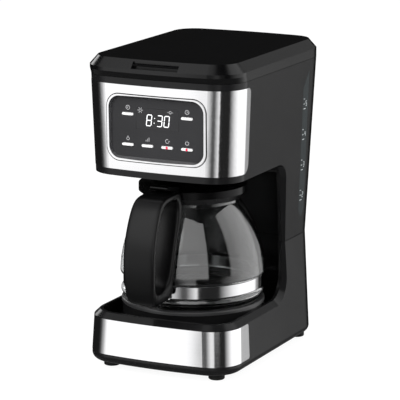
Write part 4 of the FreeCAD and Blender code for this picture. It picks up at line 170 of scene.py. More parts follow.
# How far the gloss of plastic drifts, and that of metal as a share of its roughness
PLASTIC_DRIFT = 0.03
METAL_DRIFT = 0.15


def blank(name):
    """A material with its principled shader and object coordinates."""
    material = bpy.data.materials.new(name)
    material.use_nodes = True
    tree = material.node_tree
    shader = tree.nodes["Principled BSDF"]
    place = tree.nodes.new("ShaderNodeTexCoord")
    return material, tree, shader, place.outputs["Object"]


def stretched(tree, source, scale):
    """Coordinates scaled on each axis."""
    mapping = tree.nodes.new("ShaderNodeMapping")
    mapping.inputs["Scale"].default_value = scale
    tree.links.new(source, mapping.inputs["Vector"])
    return mapping.outputs["Vector"]


def noise(tree, source, scale, detail):
    texture = tree.nodes.new("ShaderNodeTexNoise")
    texture.inputs["Scale"].default_value = scale
    texture.inputs["Detail"].default_value = detail
    tree.links.new(source, texture.inputs["Vector"])
    return texture.outputs["Fac"]


def ranged(tree, source, low, high):
    """Maps the middle of a noise to a range of values."""
    mapped = tree.nodes.new("ShaderNodeMapRange")
    mapped.inputs["From Min"].default_value = NOISE_LOW
    mapped.inputs["From Max"].default_value = NOISE_HIGH
    mapped.inputs["To Min"].default_value = low
    mapped.inputs["To Max"].default_value = high
    tree.links.new(source, mapped.inputs["Value"])
    return mapped.outputs["Result"]


def toned(tree, source, colour, spread):
    """A colour that varies a little with a noise."""
    ramp = tree.nodes.new("ShaderNodeValToRGB")
    first, last = ramp.color_ramp.elements
    first.position = NOISE_LOW
    last.position = NOISE_HIGH
    first.color = [max(c * (1 - spread), 0) for c in colour] + [1]
    last.color = [min(c * (1 + spread), 1) for c in colour] + [1]
    tree.links.new(source, ramp.inputs["Fac"])
    return ramp.outputs["Color"]


def bumped(tree, source, shader, strength, distance):
    """Roughens the surface with the heights of a noise."""
    bump = tree.nodes.new("ShaderNodeBump")
    bump.inputs["Strength"].default_value = strength
    bump.inputs["Distance"].default_value = distance
    tree.links.new(source, bump.inputs["Height"])
    tree.links.new(bump.outputs["Normal"], shader.inputs["Normal"])


def moulded(name, colour, roughness, specular, grain=2200):
    """Moulded plastic with a fine grain and slow changes of gloss."""
    material, tree, shader, place = blank(name)
    slow = noise(tree, place, scale=22, detail=2)
    tree.links.new(toned(tree, slow, colour, spread=0.12), shader.inputs["Base Color"])
    gloss = ranged(tree, slow, roughness - PLASTIC_DRIFT, roughness + PLASTIC_DRIFT)
    tree.links.new(gloss, shader.inputs["Roughness"])
    shader.inputs["Specular IOR Level"].default_value = specular
    bumped(tree, noise(tree, place, scale=grain, detail=3), shader, strength=0.12, distance=0.02 * MM)
    return material


def metallic(tree, shader, source, colour, spread, roughness):
    """Makes a shader a metal whose colour and gloss follow a noise."""
    tree.links.new(toned(tree, source, colour, spread), shader.inputs["Base Color"])
    gloss = ranged(tree, source, roughness * (1 - METAL_DRIFT), roughness * (1 + METAL_DRIFT))
    tree.links.new(gloss, shader.inputs["Roughness"])
    shader.inputs["Metallic"].default_value = 1.0


def brushed(name, colour, roughness, along, anisotropy=0.5):
    """Sheet metal brushed along one way; along scales the noise on each axis."""
    material, tree, shader, place = blank(name)
    lines = noise(tree, stretched(tree, place, along), scale=1.0, detail=6)
    metallic(tree, shader, lines, colour, 0.025, roughness)
    shader.inputs["Anisotropic"].default_value = anisotropy
    bumped(tree, lines, shader, strength=0.02, distance=0.01 * MM)
    return material


def plain_metal(name, colour, roughness):
    """Metal without a grain."""
    material, tree, shader, place = blank(name)
    metallic(tree, shader, noise(tree, place, scale=160, detail=3), colour, 0.06, roughness)
    return material


def clear(name, colour, roughness, ior, transmission=1.0):
    """Clear glass or plastic with faint waviness."""
    material, tree, shader, place = blank(name)
    shader.inputs["Base Color"].default_value = list(colour) + [1]
    shader.inputs["Roughness"].default_value = roughness
    shader.inputs["IOR"].default_value = ior
    shader.inputs["Transmission Weight"].default_value = transmission
    bumped(tree, noise(tree, place, scale=12, detail=0), shader, strength=0.01, distance=0.02 * MM)
    return material


def lit(name, colour, glow):
    """Printed or lit mark that glows a little: its own light if lit, painted light if printed or a key.
    """
    material, tree, shader, place = blank(name)
    speck = noise(tree, place, scale=3000, detail=1)
    tree.links.new(toned(tree, speck, colour, spread=0.05), shader.inputs["Base Color"])
    shader.inputs["Roughness"].default_value = 0.5
    shader.inputs["Emission Color"].default_value = list(colour) + [1]
    shader.inputs["Emission Strength"].default_value = glow
    return material


def mesh_of(name, bm):
    """Turns a drawing into a mesh with all its faces outward."""
    bmesh.ops.recalc_face_normals(bm, faces=bm.faces)
    mesh = bpy.data.meshes.new(name)
    bm.to_mesh(mesh)
    bm.free()
    return mesh


def new_piece(name, mesh, body, material):
    """Adds a mesh to the scene as a piece that rides on a body."""
    obj = bpy.data.objects.new(name, mesh)
    bpy.context.scene.collection.objects.link(obj)
    obj.data.materials.append(material)
    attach(obj, body)
    return obj


def printed(name, bm, body, material, film):
    """Turns a flat drawing into a thin printed piece."""
    obj = new_piece(name, mesh_of(name, bm), body, material)
    solid = obj.modifiers.new("film", "SOLIDIFY")
    solid.thickness = film
    solid.offset = 0


def edges(points, width, closed):
    """Both edges of a line of one width through points of a drawing: (left, right) at each point."""
    flat = [Vector(p) for p in points]
    last = len(flat) - 1
    pairs = []
    for i, point in enumerate(flat):
        before = flat[i - 1] if closed or i > 0 else point
        after = flat[(i + 1) % len(flat)] if closed or i < last else point
        along = (after - before).normalized()
        side = Vector((-along.y, along.x)) * width / 2
        pairs.append((point + side, point - side))
    return pairs


def strip(bm, rails, closed):
    """Fills a line between its edges, given as pairs of vertices."""
    following = rails[1:] + rails[:1] if closed else rails[1:]
    for a, b in zip(rails, following):
        bm.faces.new((a[0], a[1], b[1], b[0]))


def ribbon(bm, points, width, place, closed=False):
    """A flat line of one width through points of a drawing, set in space by place."""
    pairs = edges(points, width, closed)
    rails = [(bm.verts.new(place(left)), bm.verts.new(place(right))) for left, right in pairs]
    strip(bm, rails, closed)


def patch(bm, corners):
    """A flat face through corners."""
    bm.faces.new([bm.verts.new(corner) for corner in corners])


def arc(cx, cy, r, start, end, steps=14):
    turns = [math.radians(start + (end - start) * i / steps) for i in range(steps + 1)]
    return [(cx + r * math.cos(t), cy + r * math.sin(t)) for t in turns]


def circle(cx, cy, r, steps=20):
    return arc(cx, cy, r, 0, 360 - 360 / steps, steps - 1)


def rounded_frame(width, height, radius, steps=12):
    """Outline of a rectangle with round corners about its middle, with points along its sides too."""
    points = []
    for turn, (sx, sz) in enumerate(((1, 1), (-1, 1), (-1, -1), (1, -1))):
        cx, cz = sx * (width / 2 - radius), sz * (height / 2 - radius)
        points += arc(cx, cz, radius, turn * 90, turn * 90 + 90, steps)
    outline = []
    for i, point in enumerate(points):
        start, end = Vector(point), Vector(points[(i + 1) % len(points)])
        parts = steps if (end - start).length > radius else 1
        outline += [tuple(start.lerp(end, part / parts)) for part in range(parts)]
    return outline


# Drawings of the key symbols in a unit square from -0.5 to 0.5: (points, closed)
SYMBOLS = {
    "hour": [(circle(0, 0, 0.46), True), ([(0, 0.3), (0, 0), (-0.2, -0.12)], False)],
    "minute": [(circle(0, 0, 0.46), True), ([(0, 0.34), (0, 0), (0.26, 0.02)], False)],
    "clean": [([(0, 0.5), (-0.22, 0.08)] + arc(0, -0.14, 0.32, 150, 390, 12) + [(0.22, 0.08)], True)],
    "strength": [
        ([(-0.36, -0.44), (-0.36, -0.1)], False), ([(0, -0.44), (0, 0.2)], False),
        ([(0.36, -0.44), (0.36, 0.5)], False)],
    "program": [
        (arc(0, 0, 0.44, 60, 360, 16), False), ([(0.24, 0.1), (0.44, -0.06), (0.62, 0.14)], False)],
    "power": [(arc(0, -0.04, 0.42, 125, 415, 16), False), ([(0, 0.5), (0, 0.04)], False)],
}

# Lit segments of each digit: a top, b upper right, c lower right, d bottom, e lower left,
# f upper left, g middle
SEGMENTS = {
    "0": "abcdef", "1": "bc", "2": "abged", "3": "abgcd", "4": "fgbc",
    "5": "afgcd", "6": "afgedc", "7": "abc", "8": "abcdefg", "9": "gfabcd",
}
# Gap at a segment's ends as a share of its stroke
SEGMENT_GAP = 0.12


def segment_ends(w, h, gap):
    """End points of the seven segments of a digit of width w and height h about its middle."""
    x, y = w / 2, h / 2
    return {
        "a": ((-x + gap, y), (x - gap, y)),
        "b": ((x, y - gap), (x, gap)),
        "c": ((x, -gap), (x, -y + gap)),
        "d": ((-x + gap, -y), (x - gap, -y)),
        "e": ((-x, -gap), (-x, -y + gap)),
        "f": ((-x, y - gap), (-x, gap)),
        "g": ((-x + gap, 0), (x - gap, 0)),
    }


def bar(bm, start, end, width, place):
    """A lit segment with pointed ends."""
    a, b = Vector(start), Vector(end)
    along = (b - a).normalized()
    side = Vector((-along.y, along.x)) * width / 2
    tip = along * width / 2
    outline = [a, a + tip + side, b - tip + side, b, b - tip - side, a + tip - side]
    patch(bm, [place(p) for p in outline])


def draw_digit(bm, char, w, h, stroke, place):
    ends = segment_ends(w - stroke, h - stroke, stroke * SEGMENT_GAP)
    for letter in SEGMENTS[char]:
        bar(bm, ends[letter][0], ends[letter][1], stroke, place)


def on_panel(x, z, lift, lean=0.0):
    """Places a drawing on the front of the panel, leaning to the right with its height."""
    def place(p):
        return Vector((PANEL_MID_X + x + p.x + p.y * lean, PANEL_FRONT - lift, PANEL_MID_Z + z + p.y))
    return place


def surface(node):
    """A search tree of a CAD node's mesh, for setting thin pieces on its surface."""
    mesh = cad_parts[node].data
    return BVHTree.FromPolygons([v.co for v in mesh.vertices], [p.vertices for p in mesh.polygons])


def struck(tree, start, way):
    """Where a line from start along way meets a surface; a miss is an error."""
    hit = tree.ray_cast(Vector(start), Vector(way))[0]
    if hit is None:
        raise ValueError(f"no surface from {tuple(start)}")
    return hit


class COFFEE_OT_case(Operator):
    """Finishes the housings, bands, bezel, cover and feet"""

    bl_idname = "coffee.case"
    bl_label = "Case"

    def execute(self, context):
        finish = context.scene.coffee_finish
        sheet = brushed(
            "stainless_sheet", finish.steel, roughness=0.1, along=(9, 9, 2600), anisotropy=0.3)
        rubber = moulded("rubber", (0.008, 0.008, 0.008), roughness=0.6, specular=0.25, grain=900)
        ring = moulded("ring_silicone", (0.035, 0.035, 0.036), roughness=0.35, specular=0.4, grain=900)
        coat = moulded("plate_coat", (0.008, 0.008, 0.008), roughness=0.3, specular=0.3, grain=1400)
        wear(["upper_shell", "base_shell"],
             moulded("case_plastic", finish.plastic, roughness=0.17, specular=0.22))
        wear(["bottom_cover", "cord_gland"],
             moulded("cover_plastic", finish.plastic, roughness=0.5, specular=0.3))
        wear(["head_trim", "base_trim"], sheet)
        wear(["panel_bezel"], plain_metal("bright_bezel", finish.steel, roughness=0.1))
        wear(["feet"], rubber)
        wear(["plate_gasket"], ring)
        wear(["case_screws"], plain_metal("screw_steel", (0.5, 0.5, 0.52), roughness=0.3))
        wear(["warming_plate"], coat)
        return {"FINISHED"}


# Gap between the bezel and the painted shadow line round it, the bezel's corner radius, and the start
# of the lines that find the band behind that line
SHADOW_CLEARANCE = 0.1 * MM
BEZEL_RADIUS = 11.5 * MM
SHADOW_SIGHT = 100 * MM


class COFFEE_OT_gap_shadow(Operator):
    """Lays a thin dark line between the bezel and the stainless band: a painted shadow for the gap there
    """

    bl_idname = "coffee.seal"
    bl_label = "Bezel Gap Shadow"

    def execute(self, context):
        marks = context.scene.coffee_marks
        low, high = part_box("panel_bezel")
        middle_z = middle(low, high, 2)
        band = surface("head_trim")
        away = marks.shadow_line_width / 2 + SHADOW_CLEARANCE
        width, height = high[0] - low[0] + 2 * away, high[2] - low[2] + 2 * away
        outline = rounded_frame(width, height, BEZEL_RADIUS + away)
        bm = bmesh.new()
        rails = []
        for (x, z), (left, right) in zip(outline, edges(outline, marks.shadow_line_width, True)):
            front = struck(band, (x, low[1] - SHADOW_SIGHT, middle_z + z), (0, 1, 0)).y - marks.film
            rails.append([bm.verts.new((p.x, front, middle_z + p.y)) for p in (right, left)])
        strip(bm, rails, True)
        # Painted shadow: a dark strip laid in the gap round the bezel
        seal = moulded("painted_gap_shadow", (0.01, 0.01, 0.01), roughness=0.5, specular=0.2, grain=900)
        printed("bezel_gap_shadow", bm, "machine", seal, marks.film)
        return {"FINISHED"}


class COFFEE_OT_lid(Operator):
    """Finishes the lid, its grip bar, liner, spray head and pins"""

    bl_idname = "coffee.lid"
    bl_label = "Lid"

    def execute(self, context):
        finish = context.scene.coffee_finish
        wear(["lid_shell"], moulded("lid_plastic", finish.lid, roughness=0.2, specular=0.35))
        wear(["lid_grip"], moulded("grip_plastic", finish.lid, roughness=0.5, specular=0.06))
        wear(["lid_liner", "spray_head"],
             moulded("liner_plastic", finish.plastic, roughness=0.5, specular=0.3))
        wear(["lid_hinge_pins"], plain_metal("pin_steel", (0.6, 0.6, 0.62), roughness=0.25))
        return {"FINISHED"}


class COFFEE_OT_panel(Operator):
    """Finishes the panel and display, gives the keys a painted glow, and lights the lamps of two keys"""

    bl_idname = "coffee.panel"
    bl_label = "Panel"

    def execute(self, context):
        finish = context.scene.coffee_finish
        marks = context.scene.coffee_marks
        board = moulded("board", (0.02, 0.12, 0.05), roughness=0.4, specular=0.4, grain=600)
        red = lit("lamp_red", finish.lamp, glow=0.6)
        wear(["control_panel"],
             moulded("panel_plastic", finish.panel, roughness=0.42, specular=0.2, grain=3000))
        wear(["display_lens"],
             moulded("lens_smoke", finish.panel, roughness=0.36, specular=0.2, grain=3000))
        wear(["lcd_module"], moulded("display_module", (0.05, 0.055, 0.06), roughness=0.4, specular=0.3))
        wear(["control_board", "power_board"], board)
        wear(["board_screws"], plain_metal("board_screw_steel", (0.55, 0.55, 0.56), roughness=0.3))
        # The white keys glow a little too: painted light, as they hold no lamp
        wear(["button_" + name for name in KEYS], lit("key_white", finish.key, glow=0.12))
        wear(["lamp_" + name for name in LIT_KEYS], red)
        for name in LIT_KEYS:
            low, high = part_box("lamp_" + name)
            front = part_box("button_" + name)[0][1] - marks.film
            middle_x, middle_z = middle(low, high, 0), middle(low, high, 2)
            bm = bmesh.new()
            ring = circle(0, 0, marks.lamp_radius)
            patch(bm, [(middle_x + x, front, middle_z + z) for x, z in ring])
            printed("lamp_glow_" + name, bm, "key_" + name, red, marks.film)
        return {"FINISHED"}


# Width of the colon and gap between digits in strokes, rise of the colon's dots as a share of a
# digit's height, and the reading's place right of the panel's middle
COLON_WIDTH = 2.6
DIGIT_GAP = 1.6
COLON_RISE = 0.2
READING_SHIFT = 0.5 * MM
# The two display icons: (place right of the panel's middle, degrees between rays), then their
# height over the panel's middle, radius, line width and the inner and outer end of a ray
ICONS = [(-16.0 * MM, 60), (12.0 * MM, 180)]
ICON_HEIGHT = 15.2 * MM
ICON_RADIUS = 1.1 * MM
ICON_STROKE = 0.4 * MM
ICON_RAY = (1.7 * MM, 2.6 * MM)


class COFFEE_OT_display(Operator):
    """Draws the lit clock reading and two icons on the display"""

    bl_idname = "coffee.display"
    bl_label = "Display Reading"

    def execute(self, context):
        finish = context.scene.coffee_finish
        marks = context.scene.coffee_marks
        gap = marks.digit_stroke * DIGIT_GAP
        lean = math.tan(marks.digit_slant)
        colon = marks.digit_stroke * COLON_WIDTH
        widths = [colon if char == ":" else marks.digit_width for char in marks.reading]
        total = sum(widths) + gap * (len(widths) - 1)
        half = marks.digit_stroke * 0.5
        corners = [Vector(c) for c in ((-half, -half), (half, -half), (half, half), (-half, half))]
        bm = bmesh.new()
        x = -total / 2 + READING_SHIFT
        for char, width in zip(marks.reading, widths):
            place = on_panel(x + width / 2, marks.digit_rise, marks.film, lean)
            if char == ":":
                for way in (-1, 1):
                    dot = Vector((0, way * marks.digit_height * COLON_RISE))
                    patch(bm, [place(dot + corner) for corner in corners])
            else:
                draw_digit(bm, char, width, marks.digit_height, marks.digit_stroke, place)
            x += width + gap
        light = lit("digit_light", finish.digit, glow=0.45)
        printed("clock_reading", bm, "machine", light, marks.film)
        bm = bmesh.new()
        for across, step in ICONS:
            place = on_panel(across, ICON_HEIGHT, marks.film)
            ribbon(bm, circle(0, 0, ICON_RADIUS), ICON_STROKE, place, True)
            for turn in range(0, 360, step):
                ray = Vector((math.cos(math.radians(turn)), math.sin(math.radians(turn))))
                ribbon(bm, [ray * end for end in ICON_RAY], ICON_STROKE, place)
        faint = lit("icon_light", finish.mark, glow=0.3)
        printed("display_icons", bm, "machine", faint, marks.film)
        return {"FINISHED"}


class COFFEE_OT_symbols(Operator):
    """Prints a small symbol over each key, with a faint painted glow"""

    bl_idname = "coffee.symbols"
    bl_label = "Key Symbols"

    def execute(self, context):
        finish = context.scene.coffee_finish
        marks = context.scene.coffee_marks
        bm = bmesh.new()
        for name in KEYS:
            low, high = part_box("button_" + name)
            x = middle(low, high, 0) - PANEL_MID_X
            z = middle(low, high, 2) - PANEL_MID_Z + marks.symbol_rise
            place = on_panel(x, z, marks.film)
            for points, closed in SYMBOLS[name]:
                flat = [Vector(p) * marks.symbol_height for p in points]
                ribbon(bm, flat, marks.symbol_stroke, place, closed)
        # The printed ink glows a little: painted light
        ink = lit("symbol_print", finish.mark, glow=0.15)
        printed("key_symbols", bm, "machine", ink, marks.film)
        return {"FINISHED"}


# Number at the lowest gauge mark, its place from the window's middle, and its size
GAUGE_FIRST_CUPS = 2
GAUGE_NUMBER_SHIFT = 1.6 * MM
GAUGE_NUMBER_SIZE = (2.8 * MM, 5.0 * MM)
GAUGE_STROKE = 0.6 * MM
# Lines beside a number: where all begin, then (height from the number's middle, where it ends)
GAUGE_LINE_START = -4.2 * MM
GAUGE_LINES = [(-4.4 * MM, 0.4 * MM), (0, -1.8 * MM), (4.4 * MM, -1.8 * MM)]
# Start of the lines that find the window's surface
GAUGE_SIGHT = 50 * MM


class COFFEE_OT_gauge(Operator):
    """Tints the water window and prints its numbered marks, with a faint painted glow"""

    bl_idname = "coffee.gauge"
    bl_label = "Water Window"

    def execute(self, context):
        finish = context.scene.coffee_finish
        marks = context.scene.coffee_marks
        smoke = moulded("window_smoke", finish.window, roughness=0.25, specular=0.32, grain=2600)
        wear(["water_gauge"], smoke)
        window = surface("water_gauge")
        middle_y = middle(GAUGE_LOW, GAUGE_HIGH, 1)

        def place(p):
            hit = struck(window, (GAUGE_HIGH[0] + GAUGE_SIGHT, middle_y + p.x, p.y), (-1, 0, 0))
            return hit + Vector((marks.film, 0, 0))

        width, height = GAUGE_NUMBER_SIZE
        bm = bmesh.new()
        for i in range(marks.gauge_count):
            z = marks.gauge_first + marks.gauge_step * i
            number = Vector((GAUGE_NUMBER_SHIFT, z))
            cups = str(i + GAUGE_FIRST_CUPS)
            draw_digit(bm, cups, width, height, GAUGE_STROKE, lambda p: place(p + number))
            for rise, reach in GAUGE_LINES:
                ribbon(bm, [(GAUGE_LINE_START, z + rise), (reach, z + rise)], GAUGE_STROKE, place)
        # The printed marks glow a little: painted light
        ink = lit("gauge_print", (0.5, 0.53, 0.54), glow=0.1)
        printed("gauge_marks", bm, "machine", ink, marks.film)
        return {"FINISHED"}


# Side view of the carafe's handle: matching points of the outer outline and of the finger hole,
# as reach from the carafe's axis and height from the feet, in millimetres
HANDLE_LOOP = [
    ((49.0, 157.0), (58.5, 150.8)), ((61.0, 157.1), (64.5, 151.6)), ((73.0, 157.0), (72.0, 151.5)),
    ((83.0, 155.6), (79.5, 149.9)), ((89.6, 150.2), (85.0, 145.4)), ((94.4, 142.2), (89.0, 138.6)),
    ((99.3, 131.6), (94.0, 129.0)), ((102.8, 119.6), (97.4, 118.0)), ((104.4, 107.5), (98.9, 107.5)),
    ((104.4, 96.0), (98.8, 97.0)), ((103.6, 84.5), (97.9, 88.0)), ((102.3, 74.0), (96.2, 81.0)),
    ((98.9, 68.2), (92.6, 77.2)), ((91.0, 66.5), (87.2, 76.3)), ((79.0, 66.4), (80.0, 76.8)),
    ((67.0, 66.6), (74.0, 79.6)), ((64.8, 70.5), (71.2, 84.0)), ((64.5, 78.0), (70.1, 89.0)),
    ((63.8, 90.0), (69.0, 95.0)), ((61.4, 101.0), (67.0, 103.5)), ((57.9, 113.0), (64.0, 113.0)),
    ((53.0, 124.0), (60.4, 122.5)), ((48.4, 133.0), (57.4, 130.5)), ((46.1, 141.0), (55.4, 137.0)),
    ((46.2, 147.5), (54.8, 143.0)), ((48.2, 151.5), (55.8, 147.8)),
]
# Half width at the grip and its height, then how much narrower the handle is how far above and
# below it, in millimetres
GRIP_HALF = 14.5
GRIP_WIDEST_Z = 102.0
TAPER_UP = (1.0, 55)
TAPER_DOWN = (2.9, 36)
# Points round the handle's section, and how square it is across and outward: 1 is an ellipse
SECTION_POINTS = 20
SQUARE_ACROSS = 0.36
SQUARE_OUT = 0.42


def handle_half_width(z):
    """Half width of the handle at a height in millimetres: widest at the grip."""
    narrower, far = TAPER_UP if z > GRIP_WIDEST_Z else TAPER_DOWN
    return GRIP_HALF - narrower * ((z - GRIP_WIDEST_Z) / far) ** 2


def handle_mesh():
    """Loop handle with a soft rounded section all the way round."""
    bm = bmesh.new()
    rings = []
    for outer, inner in HANDLE_LOOP:
        centre = (Vector(outer) + Vector(inner)) / 2
        reach = (Vector(outer) - Vector(inner)) / 2
        ring = []
        for k in range(SECTION_POINTS):
            t = 2 * math.pi * k / SECTION_POINTS
            c, s = math.cos(t), math.sin(t)
            across = math.copysign(abs(c) ** SQUARE_ACROSS, c) * handle_half_width(centre.y)
            p = centre + reach * math.copysign(abs(s) ** SQUARE_OUT, s)
            ring.append(bm.verts.new((across * MM, JAR_Y - p.x * MM, p.y * MM)))
        rings.append(ring)
    for a, b in zip(rings, rings[1:] + rings[:1]):
        for k in range(SECTION_POINTS):
            n = (k + 1) % SECTION_POINTS
            bm.faces.new((a[k], a[n], b[n], b[k])).smooth = True
    return mesh_of("carafe_grip", bm)


class COFFEE_OT_carafe(Operator):
    """Finishes the jar, band, collar and lid, and forms the soft loop handle"""

    bl_idname = "coffee.carafe"
    bl_label = "Carafe"

    def execute(self, context):
        finish = context.scene.coffee_finish
        glass = clear("jar_glass", (0.97, 0.98, 0.98), roughness=0.0, ior=finish.glass_ior)
        wear(["carafe_jar"], glass)
        wear(["carafe_band"], brushed("band_steel", finish.steel, roughness=0.1, along=(9, 9, 2600)))
        wear(["carafe_collar", "carafe_handle"],
             moulded("carafe_plastic", finish.plastic, roughness=0.25, specular=0.4))
        wear(["carafe_lid"], moulded("carafe_lid_black", finish.lid, roughness=0.2, specular=0.15))
        wear(["carafe_lid_pin", "band_screw"],
             plain_metal("carafe_steel", (0.6, 0.6, 0.62), roughness=0.2))
        black = moulded("grip_black", finish.lid, roughness=0.3, specular=0.2)
        grip = new_piece("carafe_grip", handle_mesh(), "carafe", black)
        soft = grip.modifiers.new("soft", "SUBSURF")
        soft.levels = 2
        soft.render_levels = 2
        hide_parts("carafe_handle")
        return {"FINISHED"}


class COFFEE_OT_inside(Operator):
    """Finishes the brewing chamber, basket, tank, heater and wiring"""

    bl_idname = "coffee.inside"
    bl_label = "Inside"

    def execute(self, context):
        finish = context.scene.coffee_finish
        mesh = brushed(
            "mesh_steel", (0.7, 0.66, 0.55), roughness=0.35, along=(1800, 1800, 1800), anisotropy=0.0)
        drawn = brushed(
            "drawn_aluminium", (0.72, 0.72, 0.73), roughness=0.35, along=(300, 300, 40), anisotropy=0.2)
        tank = clear("tank_plastic", (0.6, 0.64, 0.66), roughness=0.2, ior=1.45, transmission=0.7)
        rubber = moulded("seal_rubber", (0.05, 0.03, 0.025), roughness=0.6, specular=0.25, grain=900)
        silicone = moulded("silicone", (0.6, 0.6, 0.57), roughness=0.5, specular=0.35, grain=700)
        sleeve = moulded("loom_sleeve", (0.015, 0.015, 0.015), roughness=0.55, specular=0.25, grain=1500)
        wear(["brew_chamber"], moulded("chamber_plastic", finish.plastic, roughness=0.45, specular=0.3))
        wear(["brew_basket", "basket_bail", "filter_frame"],
             moulded("basket_plastic", (0.02, 0.02, 0.021), roughness=0.4, specular=0.35))
        wear(["filter_mesh"], mesh)
        wear(["drip_valve", "check_valve", "tank_screen", "riser_tube"],
             moulded("natural_plastic", (0.55, 0.55, 0.53), roughness=0.4, specular=0.4))
        wear(["water_tank"], tank)
        wear(["drip_seal"], rubber)
        wear(["drip_spring", "hose_clamps", "heater_clamp", "check_ball", "heat_cutouts"],
             plain_metal("inner_steel", (0.58, 0.58, 0.6), roughness=0.28))
        wear(["inlet_hose", "outlet_hose"], silicone)
        wear(["heater_tube", "heating_element"], drawn)
        wear(["wire_loom"], sleeve)
        return {"FINISHED"}


# Edges of the studio's soft upright panels in reflections: (degrees right of the front, level).
# The left and right ends are shared by the rows of panels
LEFT_WALL = [(-180, 0.008), (-78, 0.008), (-68, 0.04), (-52, 0.4), (-42, 0.9)]
RIGHT_WALL = [
    (69, 0.015), (95, 0.78), (110, 1.0), (148, 1.0), (155, 0.25), (161, 0.25), (164, 0.008), (180, 0.008),
]
# Lowest row, as seen in the upper band and the carafe's band
LOW_PANELS = LEFT_WALL + [
    (-16, 0.85), (8, 0.07), (15, 0.07), (31, 0.75), (32.5, 0.75), (34.5, 0.015),
] + RIGHT_WALL
# Middle row, as seen in the base's band, which leans back
MIDDLE_PANELS = LEFT_WALL + [
    (-17, 0.9), (-13.5, 0.22), (-9, 0.05), (1, 0.05), (18, 0.63), (29.5, 0.58), (31.5, 0.015),
] + RIGHT_WALL
# Highest row, as seen in the jar's shoulder
HIGH_PANELS = LEFT_WALL + [
    (-17, 0.9), (-13.5, 0.22), (-9, 0.1), (-2, 0.6), (4, 0.95), (49, 1.05), (51, 0.015),
    (86, 0.015), (90, 0.85), (110, 1.0), (148, 1.0), (155, 0.25), (175, 0.25), (180, 0.008),
]
# Rows over the lowest, with the rise of a reflection at which each begins and is full
HIGHER_ROWS = [(MIDDLE_PANELS, (-0.205, -0.175)), (HIGH_PANELS, (-0.13, -0.07))]
# Rise of a reflection at which the panels begin and are full, and at which they fade and end
PANEL_FOOT = (-0.5, -0.18)
PANEL_HEAD = (0.84, 0.92)
# Pale floor below the panels in reflections: the rise at which it is full and ends, and its level
FLOOR_REACH = (-0.5, -0.32)
FLOOR_TONE = 0.17
# Level of the white backdrop in the jar's own inner reflections, and how far back it is full
BACKDROP = 0.8
BACKDROP_FULL = 0.5
# Share of the studio's light that the jar's own inner reflections keep
INNER_SHARE = 0.2
# Round soft lamps in reflections: (degrees right of the front, degrees up, half angle, level),
# and the share of the half angle that is at full level
LAMPS = [(-63, 62, 34, 0.75), (-122, 20, 11, 3.5), (-20, 30, 26, 1.4)]
LAMP_CORE = 0.55
# Share of the floor's look to the camera that is plain white
FLOOR_WHITE = 0.84
FLOOR_SIZE = 8
FLOOR_CELLS = 8
# Rectangular lamps: (name, place, size, power), and the point that they face
SOFT_BOXES = [
    ("key_panel", (-0.9, -1.5, 1.3), (1.1, 1.4), 26),
    ("side_panel", (1.6, -0.5, 0.9), (0.9, 1.4), 14),
    ("top_panel", (0.1, 0.3, 1.9), (1.6, 1.6), 12),
]
LAMP_AIM = Vector((0, 0.013, 0.13))
SENSOR_WIDTH = 36
CLIP_END = 50


def combined(tree, operation, first, second):
    """Joins two numbers or outputs with a sum, a product or the like."""
    node = tree.nodes.new("ShaderNodeMath")
    node.operation = operation
    for socket, value in zip(node.inputs, (first, second)):
        if isinstance(value, (int, float)):
            socket.default_value = value
        else:
            tree.links.new(value, socket)
    return node.outputs[0]


def faded(tree, source, start, end, low, high):
    """Goes softly from one level to another as the source goes from start to end."""
    node = tree.nodes.new("ShaderNodeMapRange")
    node.interpolation_type = "SMOOTHSTEP"
    for name, value in zip(("From Min", "From Max", "To Min", "To Max"), (start, end, low, high)):
        node.inputs[name].default_value = value
    tree.links.new(source, node.inputs["Value"])
    return node.outputs["Result"]


def mixed(tree, factor, first, second):
    """Goes from a first number or output to a second as the factor goes from 0 to 1."""
    node = tree.nodes.new("ShaderNodeMix")
    tree.links.new(factor, node.inputs["Factor"])
    for name, value in (("A", first), ("B", second)):
        if isinstance(value, (int, float)):
            node.inputs[name].default_value = value
        else:
            tree.links.new(value, node.inputs[name])
    return node.outputs["Result"]


def toward(turn, rise):
    """Direction at an angle to the right of the front and an angle up."""
    return Vector((math.sin(turn) * math.cos(rise), -math.cos(turn) * math.cos(rise), math.sin(rise)))


def upright_panels(tree, share, stops):
    """Brightness of upright panels all round; share goes from 0 to 1 over the full turn."""
    panels = tree.nodes.new("ShaderNodeValToRGB")
    elements = panels.color_ramp.elements
    while len(elements) > 1:
        elements.remove(elements[-1])
    for i, (angle, tone) in enumerate(stops):
        at = (angle + 180) / 360
        element = elements[0] if i == 0 else elements.new(at)
        element.position = at
        element.color = (tone, tone, tone, 1)
    tree.links.new(share, panels.inputs["Fac"])
    return panels.outputs["Color"]


